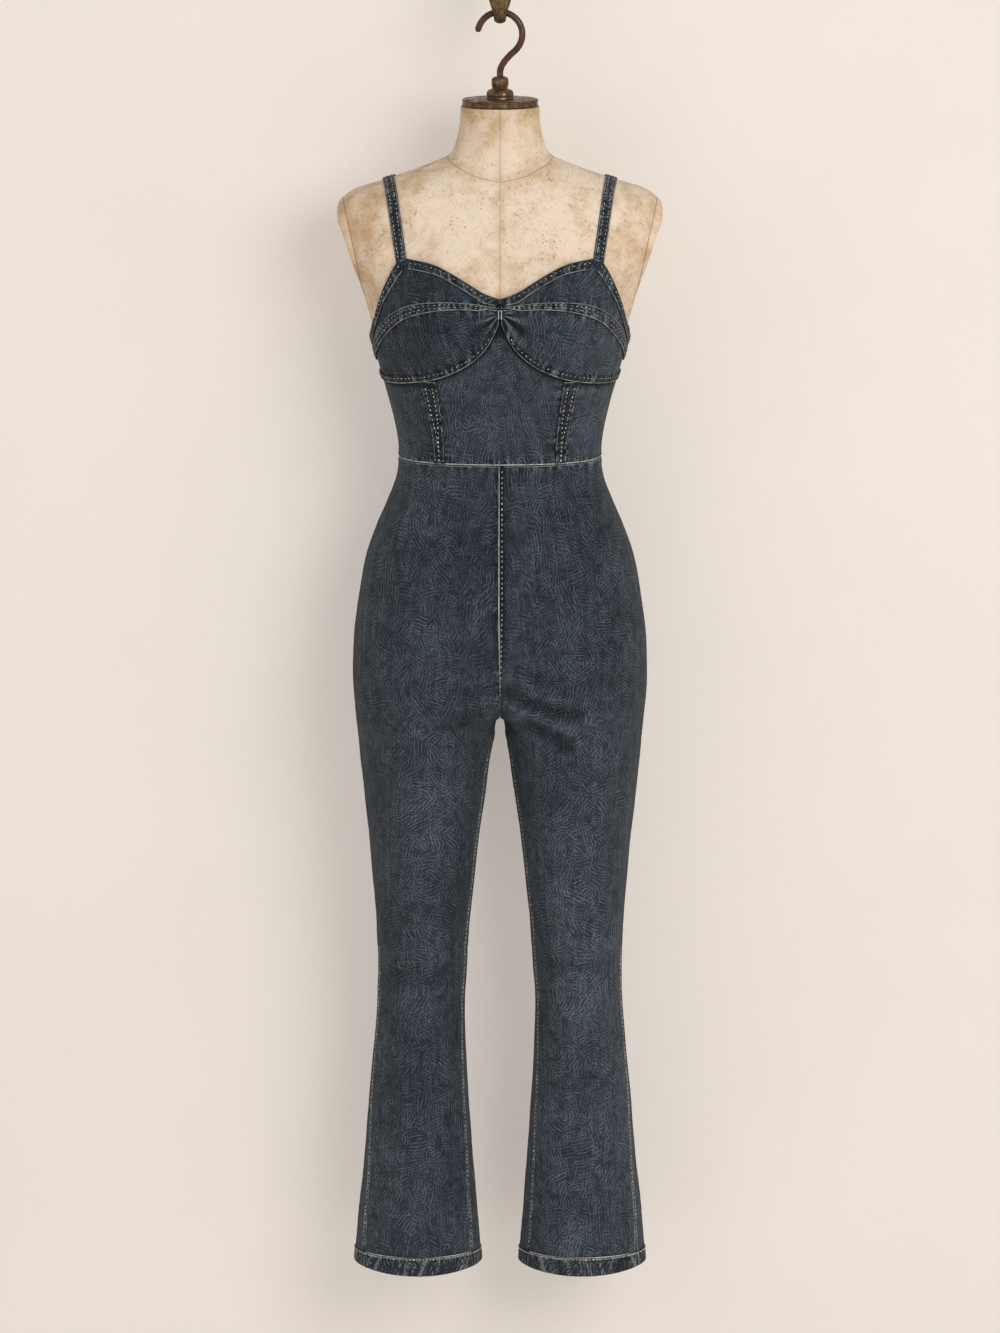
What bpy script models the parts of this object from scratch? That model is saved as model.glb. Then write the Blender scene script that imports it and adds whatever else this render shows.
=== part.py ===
"""Denim jumpsuit on a hanging dress form, in metres, +Z up.

The front faces -Y and the wall is the plane y = 0. The origin is the centre of the
wall plate's flat back. Left and right are the wearer's, so left is at +X.
"""
import math

import bmesh
import bpy
from mathutils import Matrix, Vector

# The figure's axis stands this far in front of the wall.
FIGURE_Y = -0.14

# Cloth and how the pieces lie on each other.
CLOTH = 0.0016
BAND_CLOTH = 0.0012
EASE = 0.0022
GAP = 0.0003
HALF_GAP = GAP / 2
OUTSIDE = EASE + CLOTH
BAND_OUT = GAP + BAND_CLOTH
# The bodice seams are about this far from the axis, which turns their gap into degrees.
SEAM_RADIUS = 0.10
SEAM_TURN = math.degrees(HALF_GAP / SEAM_RADIUS)

# Heights of the main lines.
WAIST_Z = -0.577
CROTCH_Z = -0.896
BRIDGE_Z = -0.899
FRONT_RISE_START_Z = -0.822
BACK_RISE_START_Z = -0.800
THIGH_START_Z = -0.735
THIGH_FROM = 0.45
HEM_TOP_Z = -1.560
HEM_SIDE_Z = -1.576
HEM_FRONT_DROP = 0.007
FORM_BOTTOM_Z = -0.770

# Level sections of the figure, from the neck down:
# height, half width, reach to the front, reach to the back.
FIGURE_SECTIONS = (
    (-0.150, 0.0472, 0.047, 0.049),
    (-0.175, 0.0490, 0.049, 0.052),
    (-0.192, 0.0525, 0.052, 0.057),
    (-0.205, 0.0580, 0.055, 0.062),
    (-0.213, 0.0660, 0.057, 0.066),
    (-0.2235, 0.0915, 0.060, 0.071),
    (-0.2355, 0.1245, 0.064, 0.077),
    (-0.243, 0.1490, 0.067, 0.081),
    (-0.2495, 0.1705, 0.070, 0.084),
    (-0.2585, 0.1980, 0.073, 0.088),
    (-0.272, 0.2110, 0.077, 0.092),
    (-0.290, 0.2100, 0.082, 0.096),
    (-0.325, 0.1940, 0.090, 0.102),
    (-0.360, 0.1715, 0.097, 0.103),
    (-0.395, 0.1600, 0.103, 0.100),
    (-0.425, 0.1530, 0.106, 0.096),
    (-0.460, 0.1430, 0.103, 0.090),
    (-0.500, 0.1320, 0.095, 0.083),
    (-0.540, 0.1222, 0.088, 0.076),
    (-0.570, 0.1188, 0.084, 0.073),
    (-0.600, 0.1212, 0.085, 0.076),
    (-0.630, 0.1325, 0.088, 0.084),
    (-0.660, 0.1455, 0.091, 0.094),
    (-0.700, 0.1590, 0.095, 0.107),
    (-0.750, 0.1680, 0.098, 0.119),
    (-0.800, 0.1740, 0.099, 0.125),
    (-0.850, 0.1750, 0.098, 0.122),
    (-0.900, 0.1712, 0.096, 0.112),
)
FULLNESS = 0.045

# The bust: two soft mounds on the figure's front.
BUST_X = 0.072
BUST_Z = -0.425
BUST_RISE = 0.022
BUST_ACROSS = 0.048
BUST_ABOVE = 0.075
BUST_BELOW = 0.050

# Outside of one trouser leg: height, inner x, outer x, reach to front, reach to back.
LEG_SECTIONS = (
    (-0.780, 0.0000, 0.1765, 0.1030, 0.1270),
    (-0.840, 0.0000, 0.1788, 0.1015, 0.1260),
    (-0.896, 0.0000, 0.1752, 0.0990, 0.1130),
    (-0.899, 0.0042, 0.1750, 0.0988, 0.1120),
    (-0.927, 0.0085, 0.1720, 0.0970, 0.1040),
    (-0.952, 0.0130, 0.1700, 0.0950, 0.0980),
    (-1.002, 0.0195, 0.1645, 0.0900, 0.0880),
    (-1.052, 0.0265, 0.1590, 0.0840, 0.0790),
    (-1.102, 0.0320, 0.1550, 0.0780, 0.0715),
    (-1.152, 0.0375, 0.1510, 0.0720, 0.0655),
    (-1.202, 0.0410, 0.1490, 0.0675, 0.0620),
    (-1.252, 0.0435, 0.1500, 0.0640, 0.0605),
    (-1.302, 0.0425, 0.1540, 0.0620, 0.0615),
    (-1.352, 0.0400, 0.1590, 0.0620, 0.0640),
    (-1.402, 0.0370, 0.1630, 0.0630, 0.0670),
    (-1.453, 0.0330, 0.1670, 0.0640, 0.0700),
    (-1.504, 0.0290, 0.1730, 0.0665, 0.0720),
    (-1.554, 0.0250, 0.1775, 0.0695, 0.0740),
    (-1.576, 0.0235, 0.1790, 0.0705, 0.0745),
)

# Seam lines of the bodice: degrees round from the centre front, height.
NECK_EDGE = (
    (0.0, -0.3740),
    (7.0, -0.3665),
    (13.0, -0.3550),
    (18.5, -0.3435),
    (23.0, -0.3350),
    (28.0, -0.3300),
    (34.0, -0.3265),
)
ARMHOLE_EDGE = (
    (36.8, -0.3290),
    (43.0, -0.3445),
    (50.0, -0.3620),
    (57.0, -0.3815),
    (65.5, -0.4025),
    (78.0, -0.4210),
    (90.0, -0.4280),
)
CROSS_UPPER = (
    (0.0, -0.3840),
    (7.0, -0.3805),
    (19.0, -0.3780),
    (31.0, -0.3790),
    (39.0, -0.3835),
    (49.0, -0.3945),
    (61.0, -0.4135),
    (72.0, -0.4300),
    (84.0, -0.4400),
    (90.0, -0.4425),
)
CROSS_LOWER = (
    (0.0, -0.3875),
    (8.0, -0.3885),
    (16.0, -0.3875),
    (25.0, -0.3890),
    (36.0, -0.3955),
    (45.0, -0.4060),
    (56.0, -0.4245),
    (72.0, -0.4465),
    (84.0, -0.4555),
    (90.0, -0.4580),
)
UNDERBUST = (
    (0.0, -0.4020),
    (0.8, -0.4045),
    (3.4, -0.4185),
    (7.5, -0.4330),
    (14.4, -0.4475),
    (22.0, -0.4580),
    (29.6, -0.4655),
    (38.0, -0.4710),
    (48.7, -0.4755),
    (64.6, -0.4785),
    (80.7, -0.4785),
    (90.0, -0.4770),
)
BACK_TOP = (
    (90.0, -0.4280),
    (120.0, -0.4240),
    (150.0, -0.4200),
    (180.0, -0.4180),
)
STRAP_CORNER = (34.0, 36.8)
EDGE_BAND_DROP = 0.013
EDGE_BAND_CLEAR = 0.0008
UNDERBUST_BAND_RISE = 0.0095
UNDERBUST_BAND_SHARE = 0.45
BACK_BAND_DROP = 0.016
BACK_BAND_END = 4.2

# The cups stand off the figure and gather into the centre knot.
CUP_EDGE_LIFT = 0.0024
CUP_FULL_LIFT = 0.0050
CUP_FLAT_FROM = 55
CUP_CENTRE_SHARE = 0.45
CUP_CENTRE_END = 12
GATHER_Z = -0.390
GATHER_DEPTH = 0.0016
GATHER_REACH = 0.030
GATHER_TURN = math.radians(42)
GATHER_CLEAR = 0.006
GATHER_BELOW_EDGE = 0.010

# The loop round the centre knot.
KEEPER_HALF = 0.0024
KEEPER_LOW_Z = -0.3975
KEEPER_TOP_Z = -0.3845
KEEPER_CROWN = 0.0006
KEEPER_OUT = 0.0052

# Seam bands between the centre front and the side fronts, in degrees.
PRINCESS = 35.0
PRINCESS_BAND_TOP = 4.4
PRINCESS_BAND_WAIST = 3.2

# Where the cup, midriff and back grids have their columns, in degrees.
CUP_ANGLES = (0.06, 1.4, 3.2, 5.6, 9, 13.5, 18.5, 23.5, 28.5, 34, 36.8, 43, 50, 57, 64, 72, 81)
LOWER_CUP_START = 0.5
MIDRIFF_ANGLES = (0, 1.4, 3.2, 5.6, 9, 13.5, 18.5, 23.5)
NOTCH_ANGLE = 2.2
SIDE_FRONT_ANGLES = (48, 57, 67, 78)
BACK_ANGLES = (99, 109, 119, 129, 139, 149, 159, 169)
MIDRIFF_SHARES = (0.0, 0.2, 0.4, 0.6, 0.8, 1.0)
CUP_SHARES = (0.0, 0.33, 0.66, 1.0)
BACK_SHARES = (0.0, 0.25, 0.5, 0.75, 1.0)

# Where the trouser grids have their columns, as shares of the way round half a leg,
# and their rows. The leg seams' half gap is a share too.
SEAM_SHARE = 0.0005
TROUSER_SHARES = (0.0, 0.10, 0.23, 0.37, 0.5, 0.64, 0.77, 0.89, 1.0)
SEAT_HEIGHTS = (-0.605, -0.635, -0.668, -0.700, -0.705, -0.740, -0.775, -0.806, -0.832)
CROTCH_HEIGHTS = (-0.854, -0.872, -0.885, -0.893, CROTCH_Z, BRIDGE_Z, -0.918, -0.950)
LEG_STEPS = 11

# Hems.
HEM_TURNS = 32
HEM_OUT = 0.0012

# Zip at the centre back.
ZIP_END_Z = -0.700
ZIP_SLOT = 0.0033
CHAIN_HALF = 0.0030
CHAIN_SUNK = 0.0004
SLIDER_Z = -0.4275
SLIDER_SIZE = (0.0080, 0.0026, 0.0100)
SLIDER_CHAMFER = 0.0006
CHAIN_TOP_DROP = 0.001
CHAIN_END_CLEAR = 0.002
BAIL_RADIUS = 0.0006
BAIL_SPAN = 0.0056
BAIL_ROOT = 0.0008
BAIL_CORNER = 0.0006
PULL_STANDOFF = 0.0026
PULL_EYE_OUTER = 0.0019
PULL_EYE_INNER = 0.0011
PULL_EYE_WIDTH = 0.0036
PULL_EYE_TURNS = 16
PULL_TAB = (0.0050, 0.0012, 0.0220)
PULL_TAB_CORNER = 0.0012
PULL_TAB_DROP = 0.0015

# Straps, over the shoulders.
STRAP_WIDTH = 0.0135
STRAP_CLOTH = 0.0012
STRAP_LIFT = 0.0006
STRAP_STATIONS = 40
STRAP_PIVOT_Z = -0.330
# How far the strap's middle is from the centre line: share of its way, x.
STRAP_LINE = (
    (0.00, 0.1175),
    (0.14, 0.1240),
    (0.32, 0.1325),
    (0.50, 0.1330),
    (0.75, 0.1080),
    (1.00, 0.0800),
)
STRAP_START = math.radians(-2)
STRAP_END = math.radians(225)

# Dress form.
FORM_TURNS = 30
FORM_HEIGHTS = (
    -0.151, -0.163, -0.177, -0.190, -0.200, -0.207, -0.213, -0.218, -0.2235, -0.230,
    -0.2365, -0.243, -0.2495, -0.256, -0.264, -0.276, -0.292, -0.312, -0.335, -0.358,
    -0.381, -0.403, -0.424, -0.440, -0.455, -0.468, -0.480, -0.492, -0.506, -0.522,
    -0.542, -0.570, -0.605, -0.640, -0.680, -0.725, FORM_BOTTOM_Z,
)
FORM_SLACK = 0.0010
FORM_SLACK_TOP_Z = -0.380
FORM_SLACK_FULL_Z = -0.430
ARM_CUT_Z = -0.279
ARM_CUT_X = 0.1845
ARM_CUT_SLOPE = 0.20
ARM_FACE_X = 0.1970
ARM_FACE_SLOPE = 0.32
ARM_FACE_SHRINK = 0.94
CAP_RADIUS = 0.0462
CAP_BOTTOM_Z = -0.1507
CAP_TOP_Z = -0.1420
CAP_CHAMFER = 0.0009
FLANGE_RADIUS = 0.0164
FLANGE_TOP_Z = -0.1305
KNOB_RADIUS = 0.0104
KNOB_TOP_Z = -0.1150
HOOK_WIRE = 0.0040
HOOK_BEND = 0.0268
HOOK_CROWN_Z = -0.0374
HOOK_TIP_TURN = math.radians(174)
HOOK_LOW_TURN = math.radians(-48)
HOOK_BEND_STEPS = 15
HOOK_NECK_STEPS = 7
HOOK_NECK_PULL = 0.030
HOOK_FOOT = 0.004

# Wall hook: y, height of the bar's middle, half width, half thickness.
WALL_HOOK = (
    (-0.0063, 0.0000, 0.0150, 0.0150),
    (-0.0120, 0.0000, 0.0140, 0.0135),
    (-0.0300, 0.0010, 0.0105, 0.0095),
    (-0.0700, 0.0020, 0.0120, 0.0080),
    (-0.1000, -0.0020, 0.0155, 0.0065),
    (-0.1150, -0.0130, 0.0165, 0.0055),
    (-0.1230, -0.0260, 0.0130, 0.0050),
    (-0.1275, -0.0370, 0.0095, 0.0046),
    (-0.1325, -0.0445, 0.0076, 0.0046),
    (-0.1400, -0.0467, 0.0073, 0.0046),
    (-0.1475, -0.0445, 0.0073, 0.0046),
    (-0.1520, -0.0360, 0.0073, 0.0046),
    (-0.1540, -0.0230, 0.0073, 0.0046),
    (-0.1550, -0.0100, 0.0071, 0.0045),
    (-0.1560, 0.0000, 0.0056, 0.0036),
    (-0.1562, 0.0040, 0.0030, 0.0020),
)
WALL_HOOK_TURNS = 14
PLATE_SIZE = (0.040, 0.0060, 0.060)
PLATE_CORNER = 0.010

SIDES = (("left", 1), ("right", -1))


def clear_scene():
    for item in list(bpy.data.objects):
        bpy.data.objects.remove(item)


def new_collection(name):
    collection = bpy.data.collections.new(name)
    bpy.context.scene.collection.children.link(collection)
    return collection


def principled(name, colour, roughness, metallic=0.0):
    material = bpy.data.materials.new(name)
    material.use_nodes = True
    shader = material.node_tree.nodes["Principled BSDF"]
    shader.inputs["Base Color"].default_value = (*colour, 1.0)
    shader.inputs["Roughness"].default_value = roughness
    shader.inputs["Metallic"].default_value = metallic
    return material


clear_scene()
PARTS = new_collection("denim_jumpsuit_on_form")
CUTTERS = new_collection("cutters")


def face_outwards(bm):
    """Turn a closed mesh's faces the right way round."""
    bmesh.ops.recalc_face_normals(bm, faces=bm.faces[:])
    if bm.calc_volume(signed=True) < 0:
        bmesh.ops.reverse_faces(bm, faces=bm.faces[:])


def add_object(name, bm, material):
    mesh = bpy.data.meshes.new(name)
    bm.to_mesh(mesh)
    bm.free()
    mesh.shade_smooth()
    mesh.set_sharp_from_angle(angle=math.radians(35))
    item = bpy.data.objects.new(name, mesh)
    item.data.materials.append(material)
    PARTS.objects.link(item)
    return item


# Curves read from the tables.
def smooth_value(table, key, column=1):
    """Read a column at a key by a smooth curve through the table's rows."""
    way = 1 if table[-1][0] > table[0][0] else -1
    last = len(table) - 1
    i = 0
    while i < last - 1 and way * table[i + 1][0] < way * key:
        i += 1
    low, high = table[i], table[i + 1]
    before, after = table[max(i - 1, 0)], table[min(i + 2, last)]
    span = high[0] - low[0]
    t = min(max((key - low[0]) / span, 0.0), 1.0)
    start, end = low[column], high[column]
    lead_in = (end - before[column]) / (high[0] - before[0]) * span
    lead_out = (after[column] - start) / (after[0] - low[0]) * span
    rise = t * t * (3 - 2 * t)
    return (start + (end - start) * rise
            + lead_in * t * (1 - t) ** 2 - lead_out * t * t * (1 - t))


def blend(a, b, share):
    return a + (b - a) * share


def ease_between(low, high, value):
    t = min(max((value - low) / (high - low), 0.0), 1.0)
    return t * t * (3 - 2 * t)


# The figure and the cloth surfaces on it.
def figure_point(degrees, z):
    """Point of the figure's skin, degrees round from the centre front towards +X."""
    half = smooth_value(FIGURE_SECTIONS, z, 1)
    reach = smooth_value(FIGURE_SECTIONS, z, 2 if degrees < 90 else 3)
    turn = math.radians(degrees)
    across, along = math.sin(turn), math.cos(turn)
    full = 1 + FULLNESS * math.sin(2 * turn) ** 2
    x = half * across * full
    y = -reach * along * full
    if along > 0:
        above = z - BUST_Z
        spread = BUST_ABOVE if above > 0 else BUST_BELOW
        mounds = sum(math.exp(-((x + way * BUST_X) / BUST_ACROSS) ** 2) for way in (1, -1))
        rise = BUST_RISE * mounds * math.exp(-(above / spread) ** 2)
        x += 0.25 * rise * across
        y -= rise * math.sqrt(along)
    return Vector((x, FIGURE_Y + y, z))


def moved_out(place, u, z, out):
    """A surface point, moved out along the surface's own normal."""
    step_u, step_z = 0.002 * u + 0.0005, 0.0005
    along_u = place(u + step_u, z) - place(u - step_u, z)
    along_z = place(u, z + step_z) - place(u, z - step_z)
    normal = along_u.cross(along_z).normalized()
    return place(u, z) + normal * out


def on_figure(degrees, z, out):
    return moved_out(figure_point, degrees, z, out)


def seat_depth(x, half, reach):
    """Reach of the seat's level section at one x, for a half width and a middle reach."""
    low, high = 0.0, math.pi / 2
    for _ in range(26):
        turn = (low + high) / 2
        if half * math.sin(turn) * (1 + FULLNESS * math.sin(2 * turn) ** 2) < x:
            low = turn
        else:
            high = turn
    return reach * math.cos(turn) * (1 + FULLNESS * math.sin(2 * turn) ** 2)


def trouser_point(share, z, back):
    """Outside of the trousers, from the centre or inner seam (0) to the side seam (1).

    The leg is a rounded tube. Above the crotch its section turns into the seat's, and
    at the centre it follows the rise, a quarter round from the centre seam to the crotch.
    """
    inner = max(smooth_value(LEG_SECTIONS, z, 1), 0.0)
    outer = smooth_value(LEG_SECTIONS, z, 2)
    reach = smooth_value(LEG_SECTIONS, z, 4 if back else 3)
    way = 1 if back else -1
    if z <= CROTCH_Z:
        turn = math.pi * (1 - share)
        x = (inner + outer) / 2 + (outer - inner) / 2 * math.cos(turn)
        return Vector((x, FIGURE_Y + way * reach * math.sin(turn), z))
    half = smooth_value(FIGURE_SECTIONS, z, 1) + OUTSIDE
    seat = smooth_value(FIGURE_SECTIONS, z, 3 if back else 2) + OUTSIDE
    rise_start = BACK_RISE_START_Z if back else FRONT_RISE_START_Z
    down = min(max((rise_start - z) / (rise_start - CROTCH_Z), 0.0), 1.0)
    at_centre = 1 - math.sqrt(1 - down * down)
    at_thigh = ease_between(THIGH_START_Z, CROTCH_Z, z)
    seat_x = math.sin(math.pi / 2 * share) * (1 + FULLNESS * math.sin(math.pi * share) ** 2)
    leg_x = (1 - math.cos(math.pi * share)) / 2
    x = half * blend(seat_x, leg_x, at_thigh)
    across = min(max(x / half, 0.0), 1.0)
    leg_depth = reach * 2 * math.sqrt(across * (1 - across))
    as_leg = blend(at_centre, at_thigh, ease_between(0.0, THIGH_FROM, across))
    depth = blend(seat_depth(abs(x), half, seat), leg_depth, as_leg)
    return Vector((x, FIGURE_Y + way * depth, z))


def on_trousers(back):
    def surface(share, z, out):
        step = 0.0004
        height = 0.0008
        place = trouser_point(share, z, back)
        along_u = trouser_point(share + step, z, back) - trouser_point(share - step, z, back)
        along_z = trouser_point(share, z + height, back) - trouser_point(share, z - height, back)
        normal = along_u.cross(along_z).normalized()
        place += normal * (-out if back else out)
        place.x = max(place.x, HALF_GAP)
        return place
    return surface


# Cloth pieces: a grid of seam places, made into a wall.
def cloth_wall(name, side, nodes, surface, outer, thickness, material):
    """A wall of cloth: nodes are rows of (u, z), outer is how far its face is out."""
    rows, columns = len(nodes), len(nodes[0])
    bm = bmesh.new()
    bmesh.ops.create_grid(bm, x_segments=columns - 1, y_segments=rows - 1, size=0.5)
    inside = set(bm.verts)
    bmesh.ops.extrude_face_region(bm, geom=bm.faces[:] + bm.edges[:] + bm.verts[:],
                                  use_keep_orig=True)
    for vert in bm.verts:
        column = round((vert.co.x + 0.5) * (columns - 1))
        row = round((vert.co.y + 0.5) * (rows - 1))
        u, z = nodes[row][column]
        out = outer(u, z) if callable(outer) else outer
        if vert in inside:
            out -= thickness
        place = surface(u, z, out)
        vert.co = (place.x * side, place.y, place.z)
    face_outwards(bm)
    return add_object(name, bm, material)


def rows_between(columns, low_line, high_line, shares):
    """Rows of (degrees, height) from one seam line to another."""
    rows = []
    for share in shares:
        rows.append([(u, blend(low_line(u), high_line(u), share)) for u in columns])
    return rows


def even_shares(count):
    return [i / count for i in range(count + 1)]


def top_edge(degrees):
    if degrees > 90:
        return smooth_value(BACK_TOP, degrees)
    neck_end, armhole_start = STRAP_CORNER
    if degrees <= neck_end:
        return smooth_value(NECK_EDGE, degrees)
    if degrees >= armhole_start:
        return smooth_value(ARMHOLE_EDGE, degrees)
    across = (degrees - neck_end) / (armhole_start - neck_end)
    return blend(NECK_EDGE[-1][1], ARMHOLE_EDGE[0][1], across)


def cross_upper(degrees):
    return smooth_value(CROSS_UPPER, degrees)


def cross_lower(degrees):
    return smooth_value(CROSS_LOWER, degrees)


def cross_middle(degrees):
    return (cross_upper(degrees) + cross_lower(degrees)) / 2


def underbust(degrees):
    return smooth_value(UNDERBUST, degrees)


def edge_band_low(degrees):
    return max(top_edge(degrees) - EDGE_BAND_DROP, cross_upper(degrees) + EDGE_BAND_CLEAR)


def underbust_band_top(degrees):
    room = cross_lower(degrees) - underbust(degrees)
    return underbust(degrees) + min(UNDERBUST_BAND_RISE, UNDERBUST_BAND_SHARE * room)


def cup_out(degrees, z):
    """How far the cup's face is out from the figure, with its gathers."""
    span = top_edge(degrees) - underbust(degrees)
    up = min(max((z - underbust(degrees)) / span, 0.0), 1.0)
    lift = CUP_EDGE_LIFT * (1 - up) + CUP_FULL_LIFT * 4 * up * (1 - up) * (1 - 0.5 * up)
    lift *= 1 - ease_between(CUP_FLAT_FROM, 90, degrees)
    lift *= blend(CUP_CENTRE_SHARE, 1.0, ease_between(0, CUP_CENTRE_END, degrees))
    place = figure_point(degrees, z)
    away = math.hypot(place.x, z - GATHER_Z)
    turn = math.atan2(z - GATHER_Z, place.x)
    wave = math.cos(2 * math.pi * turn / GATHER_TURN)
    near = math.exp(-away / GATHER_REACH) * ease_between(GATHER_CLEAR / 3, GATHER_CLEAR, away)
    below_edge = ease_between(0.0, GATHER_BELOW_EDGE, top_edge(degrees) - z)
    return OUTSIDE + lift + GATHER_DEPTH * wave * near * below_edge


def above(outer, extra):
    def raised(u, z):
        return outer(u, z) + extra
    return raised


def make_cups(side_name, side, denim, band_denim):
    columns = [*CUP_ANGLES, 90 - SEAM_TURN]
    low_columns = [LOWER_CUP_START, *columns[1:]]

    lower = [[(u, underbust(u)) for u in low_columns]]
    lower += rows_between(low_columns, underbust_band_top, cross_lower, CUP_SHARES)
    lower.append([(u, cross_middle(u) - HALF_GAP) for u in low_columns])
    cloth_wall(f"lower_cup_{side_name}", side, lower, on_figure, cup_out, CLOTH, denim)

    upper = [[(u, cross_middle(u) + HALF_GAP) for u in columns]]
    upper += rows_between(columns, cross_upper, edge_band_low, (0.0, 0.5, 1.0))
    upper.append([(u, top_edge(u)) for u in columns])
    cloth_wall(f"upper_cup_{side_name}", side, upper, on_figure, cup_out, CLOTH, denim)

    on_cup = above(cup_out, BAND_OUT)
    cross = [[(u, line(u)) for u in low_columns[1:]]
             for line in (cross_lower, cross_middle, cross_upper)]
    cloth_wall(f"cup_seam_band_{side_name}", side, cross, on_figure,
               above(cup_out, BAND_OUT + GAP), BAND_CLOTH, band_denim)
    hem = [row[1:] for row in lower[:2]]
    cloth_wall(f"underbust_band_{side_name}", side, hem, on_figure, on_cup, BAND_CLOTH,
               band_denim)
    corner = columns.index(STRAP_CORNER[0])
    neck = [row[:corner + 1] for row in upper[-2:]]
    armhole = [row[corner + 1:] for row in upper[-2:]]
    cloth_wall(f"neckline_band_{side_name}", side, neck, on_figure, on_cup, BAND_CLOTH,
               band_denim)
    cloth_wall(f"armhole_band_{side_name}", side, armhole, on_figure, on_cup, BAND_CLOTH,
               band_denim)


def princess_half(z):
    top = smooth_value(UNDERBUST, PRINCESS)
    return blend(PRINCESS_BAND_WAIST, PRINCESS_BAND_TOP, (z - WAIST_Z) / (top - WAIST_Z))


def midriff_top(degrees):
    """The cups' lower edge, but cut off below the centre knot."""
    return underbust(max(degrees, NOTCH_ANGLE)) - GAP


def midriff_rows(angles, seam_way):
    """Rows from the waist to the underbust line, with columns at the seam band's edge."""
    rows = []
    for share in MIDRIFF_SHARES:
        seam_z = blend(WAIST_Z, underbust(PRINCESS), share)
        half = princess_half(seam_z)
        seam = PRINCESS + seam_way * SEAM_TURN
        edge = PRINCESS + seam_way * half
        line = [*angles, edge, seam] if seam_way < 0 else [seam, edge, *angles]
        rows.append([(u, blend(WAIST_Z + HALF_GAP, midriff_top(u), share)) for u in line])
    return rows


def make_midriff(denim, band_denim):
    right_half = midriff_rows(MIDRIFF_ANGLES, -1)
    whole = []
    for row in right_half:
        mirrored = [(-u, z) for u, z in reversed(row[1:])]
        whole.append(mirrored + row)
    cloth_wall("bodice_centre_front", 1, whole, on_figure_both, OUTSIDE, CLOTH, denim)
    side_rows = midriff_rows([*SIDE_FRONT_ANGLES, 90 - SEAM_TURN], 1)
    for side_name, side in SIDES:
        cloth_wall(f"bodice_side_front_{side_name}", side, side_rows, on_figure, OUTSIDE,
                   CLOTH, denim)
        band = []
        for centre_row, side_row in zip(right_half, side_rows):
            band.append([centre_row[-2], (PRINCESS, side_row[0][1]), side_row[1]])
        cloth_wall(f"princess_band_{side_name}", side, band, on_figure,
                   OUTSIDE + BAND_OUT + GAP, BAND_CLOTH, band_denim)


def on_figure_both(degrees, z, out):
    """The figure's surface on both sides of the centre front."""
    place = on_figure(abs(degrees), z, out)
    return Vector((math.copysign(place.x, degrees) if degrees else 0.0, place.y, place.z))


def centre_back_edge(z):
    """Half the distance between the back pieces: the zip's slot, or a plain seam."""
    return ZIP_SLOT if z >= ZIP_END_Z else HALF_GAP


def back_edge_turn(z):
    """Where a back piece ends at a height, in degrees round."""
    return 180 - math.degrees(centre_back_edge(z) / smooth_value(FIGURE_SECTIONS, z, 1))


def back_rows():
    """Rows of a back piece from the waist to its top band's lower edge, then its top edge."""
    columns = [90 + SEAM_TURN, *BACK_ANGLES, 180.0]
    rows = rows_between(columns, lambda u: WAIST_Z + HALF_GAP,
                        lambda u: top_edge(u) - BACK_BAND_DROP, BACK_SHARES)
    rows.append([(u, top_edge(u)) for u in columns])
    for row in rows:
        end_z = row[-1][1]
        row[-1] = (back_edge_turn(end_z), end_z)
    return rows


def make_back(denim, band_denim):
    rows = back_rows()
    band = []
    for row in rows[-2:]:
        end_z = row[-1][1]
        band.append([*row[:-1], (180 - BACK_BAND_END, end_z)])
    for side_name, side in SIDES:
        cloth_wall(f"bodice_back_{side_name}", side, rows, on_figure, OUTSIDE, CLOTH, denim)
        cloth_wall(f"back_top_band_{side_name}", side, band, on_figure,
                   OUTSIDE + BAND_OUT, BAND_CLOTH, band_denim)


def trouser_heights():
    """Heights of the trouser rows, closer together round the crotch."""
    rows = [WAIST_Z - HALF_GAP, *SEAT_HEIGHTS, *CROTCH_HEIGHTS]
    knee_rows = [blend(rows[-1], HEM_TOP_Z + GAP, share) for share in even_shares(LEG_STEPS)]
    return rows + knee_rows[1:]


def trouser_nodes(back):
    rows = []
    for z in trouser_heights():
        half = smooth_value(FIGURE_SECTIONS, max(z, CROTCH_Z), 1) + OUTSIDE
        edge = centre_back_edge(z) if back and z > CROTCH_Z else HALF_GAP
        if z > CROTCH_Z:
            inner = edge / (half * math.pi / 2)
        else:
            inner = SEAM_SHARE
        row = []
        for share in TROUSER_SHARES:
            row.append((blend(inner, 1 - SEAM_SHARE, share), z))
        rows.append(row)
    return rows


def make_trousers(denim):
    for face, back in (("front", False), ("back", True)):
        nodes = trouser_nodes(back)
        for side_name, side in SIDES:
            cloth_wall(f"leg_{face}_{side_name}", side, nodes, on_trousers(back), 0.0, CLOTH,
                       denim)


def make_hems(denim):
    """Turned-up hems: a ring of doubled cloth, a little lower at the front."""
    for side_name, side in SIDES:
        bm = bmesh.new()
        loops = []
        for out in (HEM_OUT, -CLOTH):
            for level in range(3):
                ring = []
                for i in range(HEM_TURNS):
                    share = 2 * i / HEM_TURNS
                    back = share > 1
                    across = 2 - share if back else share
                    turn = math.sin(math.pi * across)
                    z = blend(HEM_TOP_Z, HEM_SIDE_Z - HEM_FRONT_DROP * turn ** 2, level / 2)
                    read_z = max(z, LEG_SECTIONS[-1][0])
                    place = on_trousers(back)(across, read_z, out)
                    ring.append(bm.verts.new((place.x * side, place.y, z)))
                loops.append(ring)
        loft_faces(bm, [loops[0], loops[1], loops[2], loops[5], loops[4], loops[3], loops[0]])
        face_outwards(bm)
        add_object(f"hem_{side_name}", bm, denim)


def loft_faces(bm, loops):
    """Faces between rings of the same count."""
    for low, high in zip(loops, loops[1:]):
        count = len(low)
        for i in range(count):
            j = (i + 1) % count
            bm.faces.new((low[i], low[j], high[j], high[i]))


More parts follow.
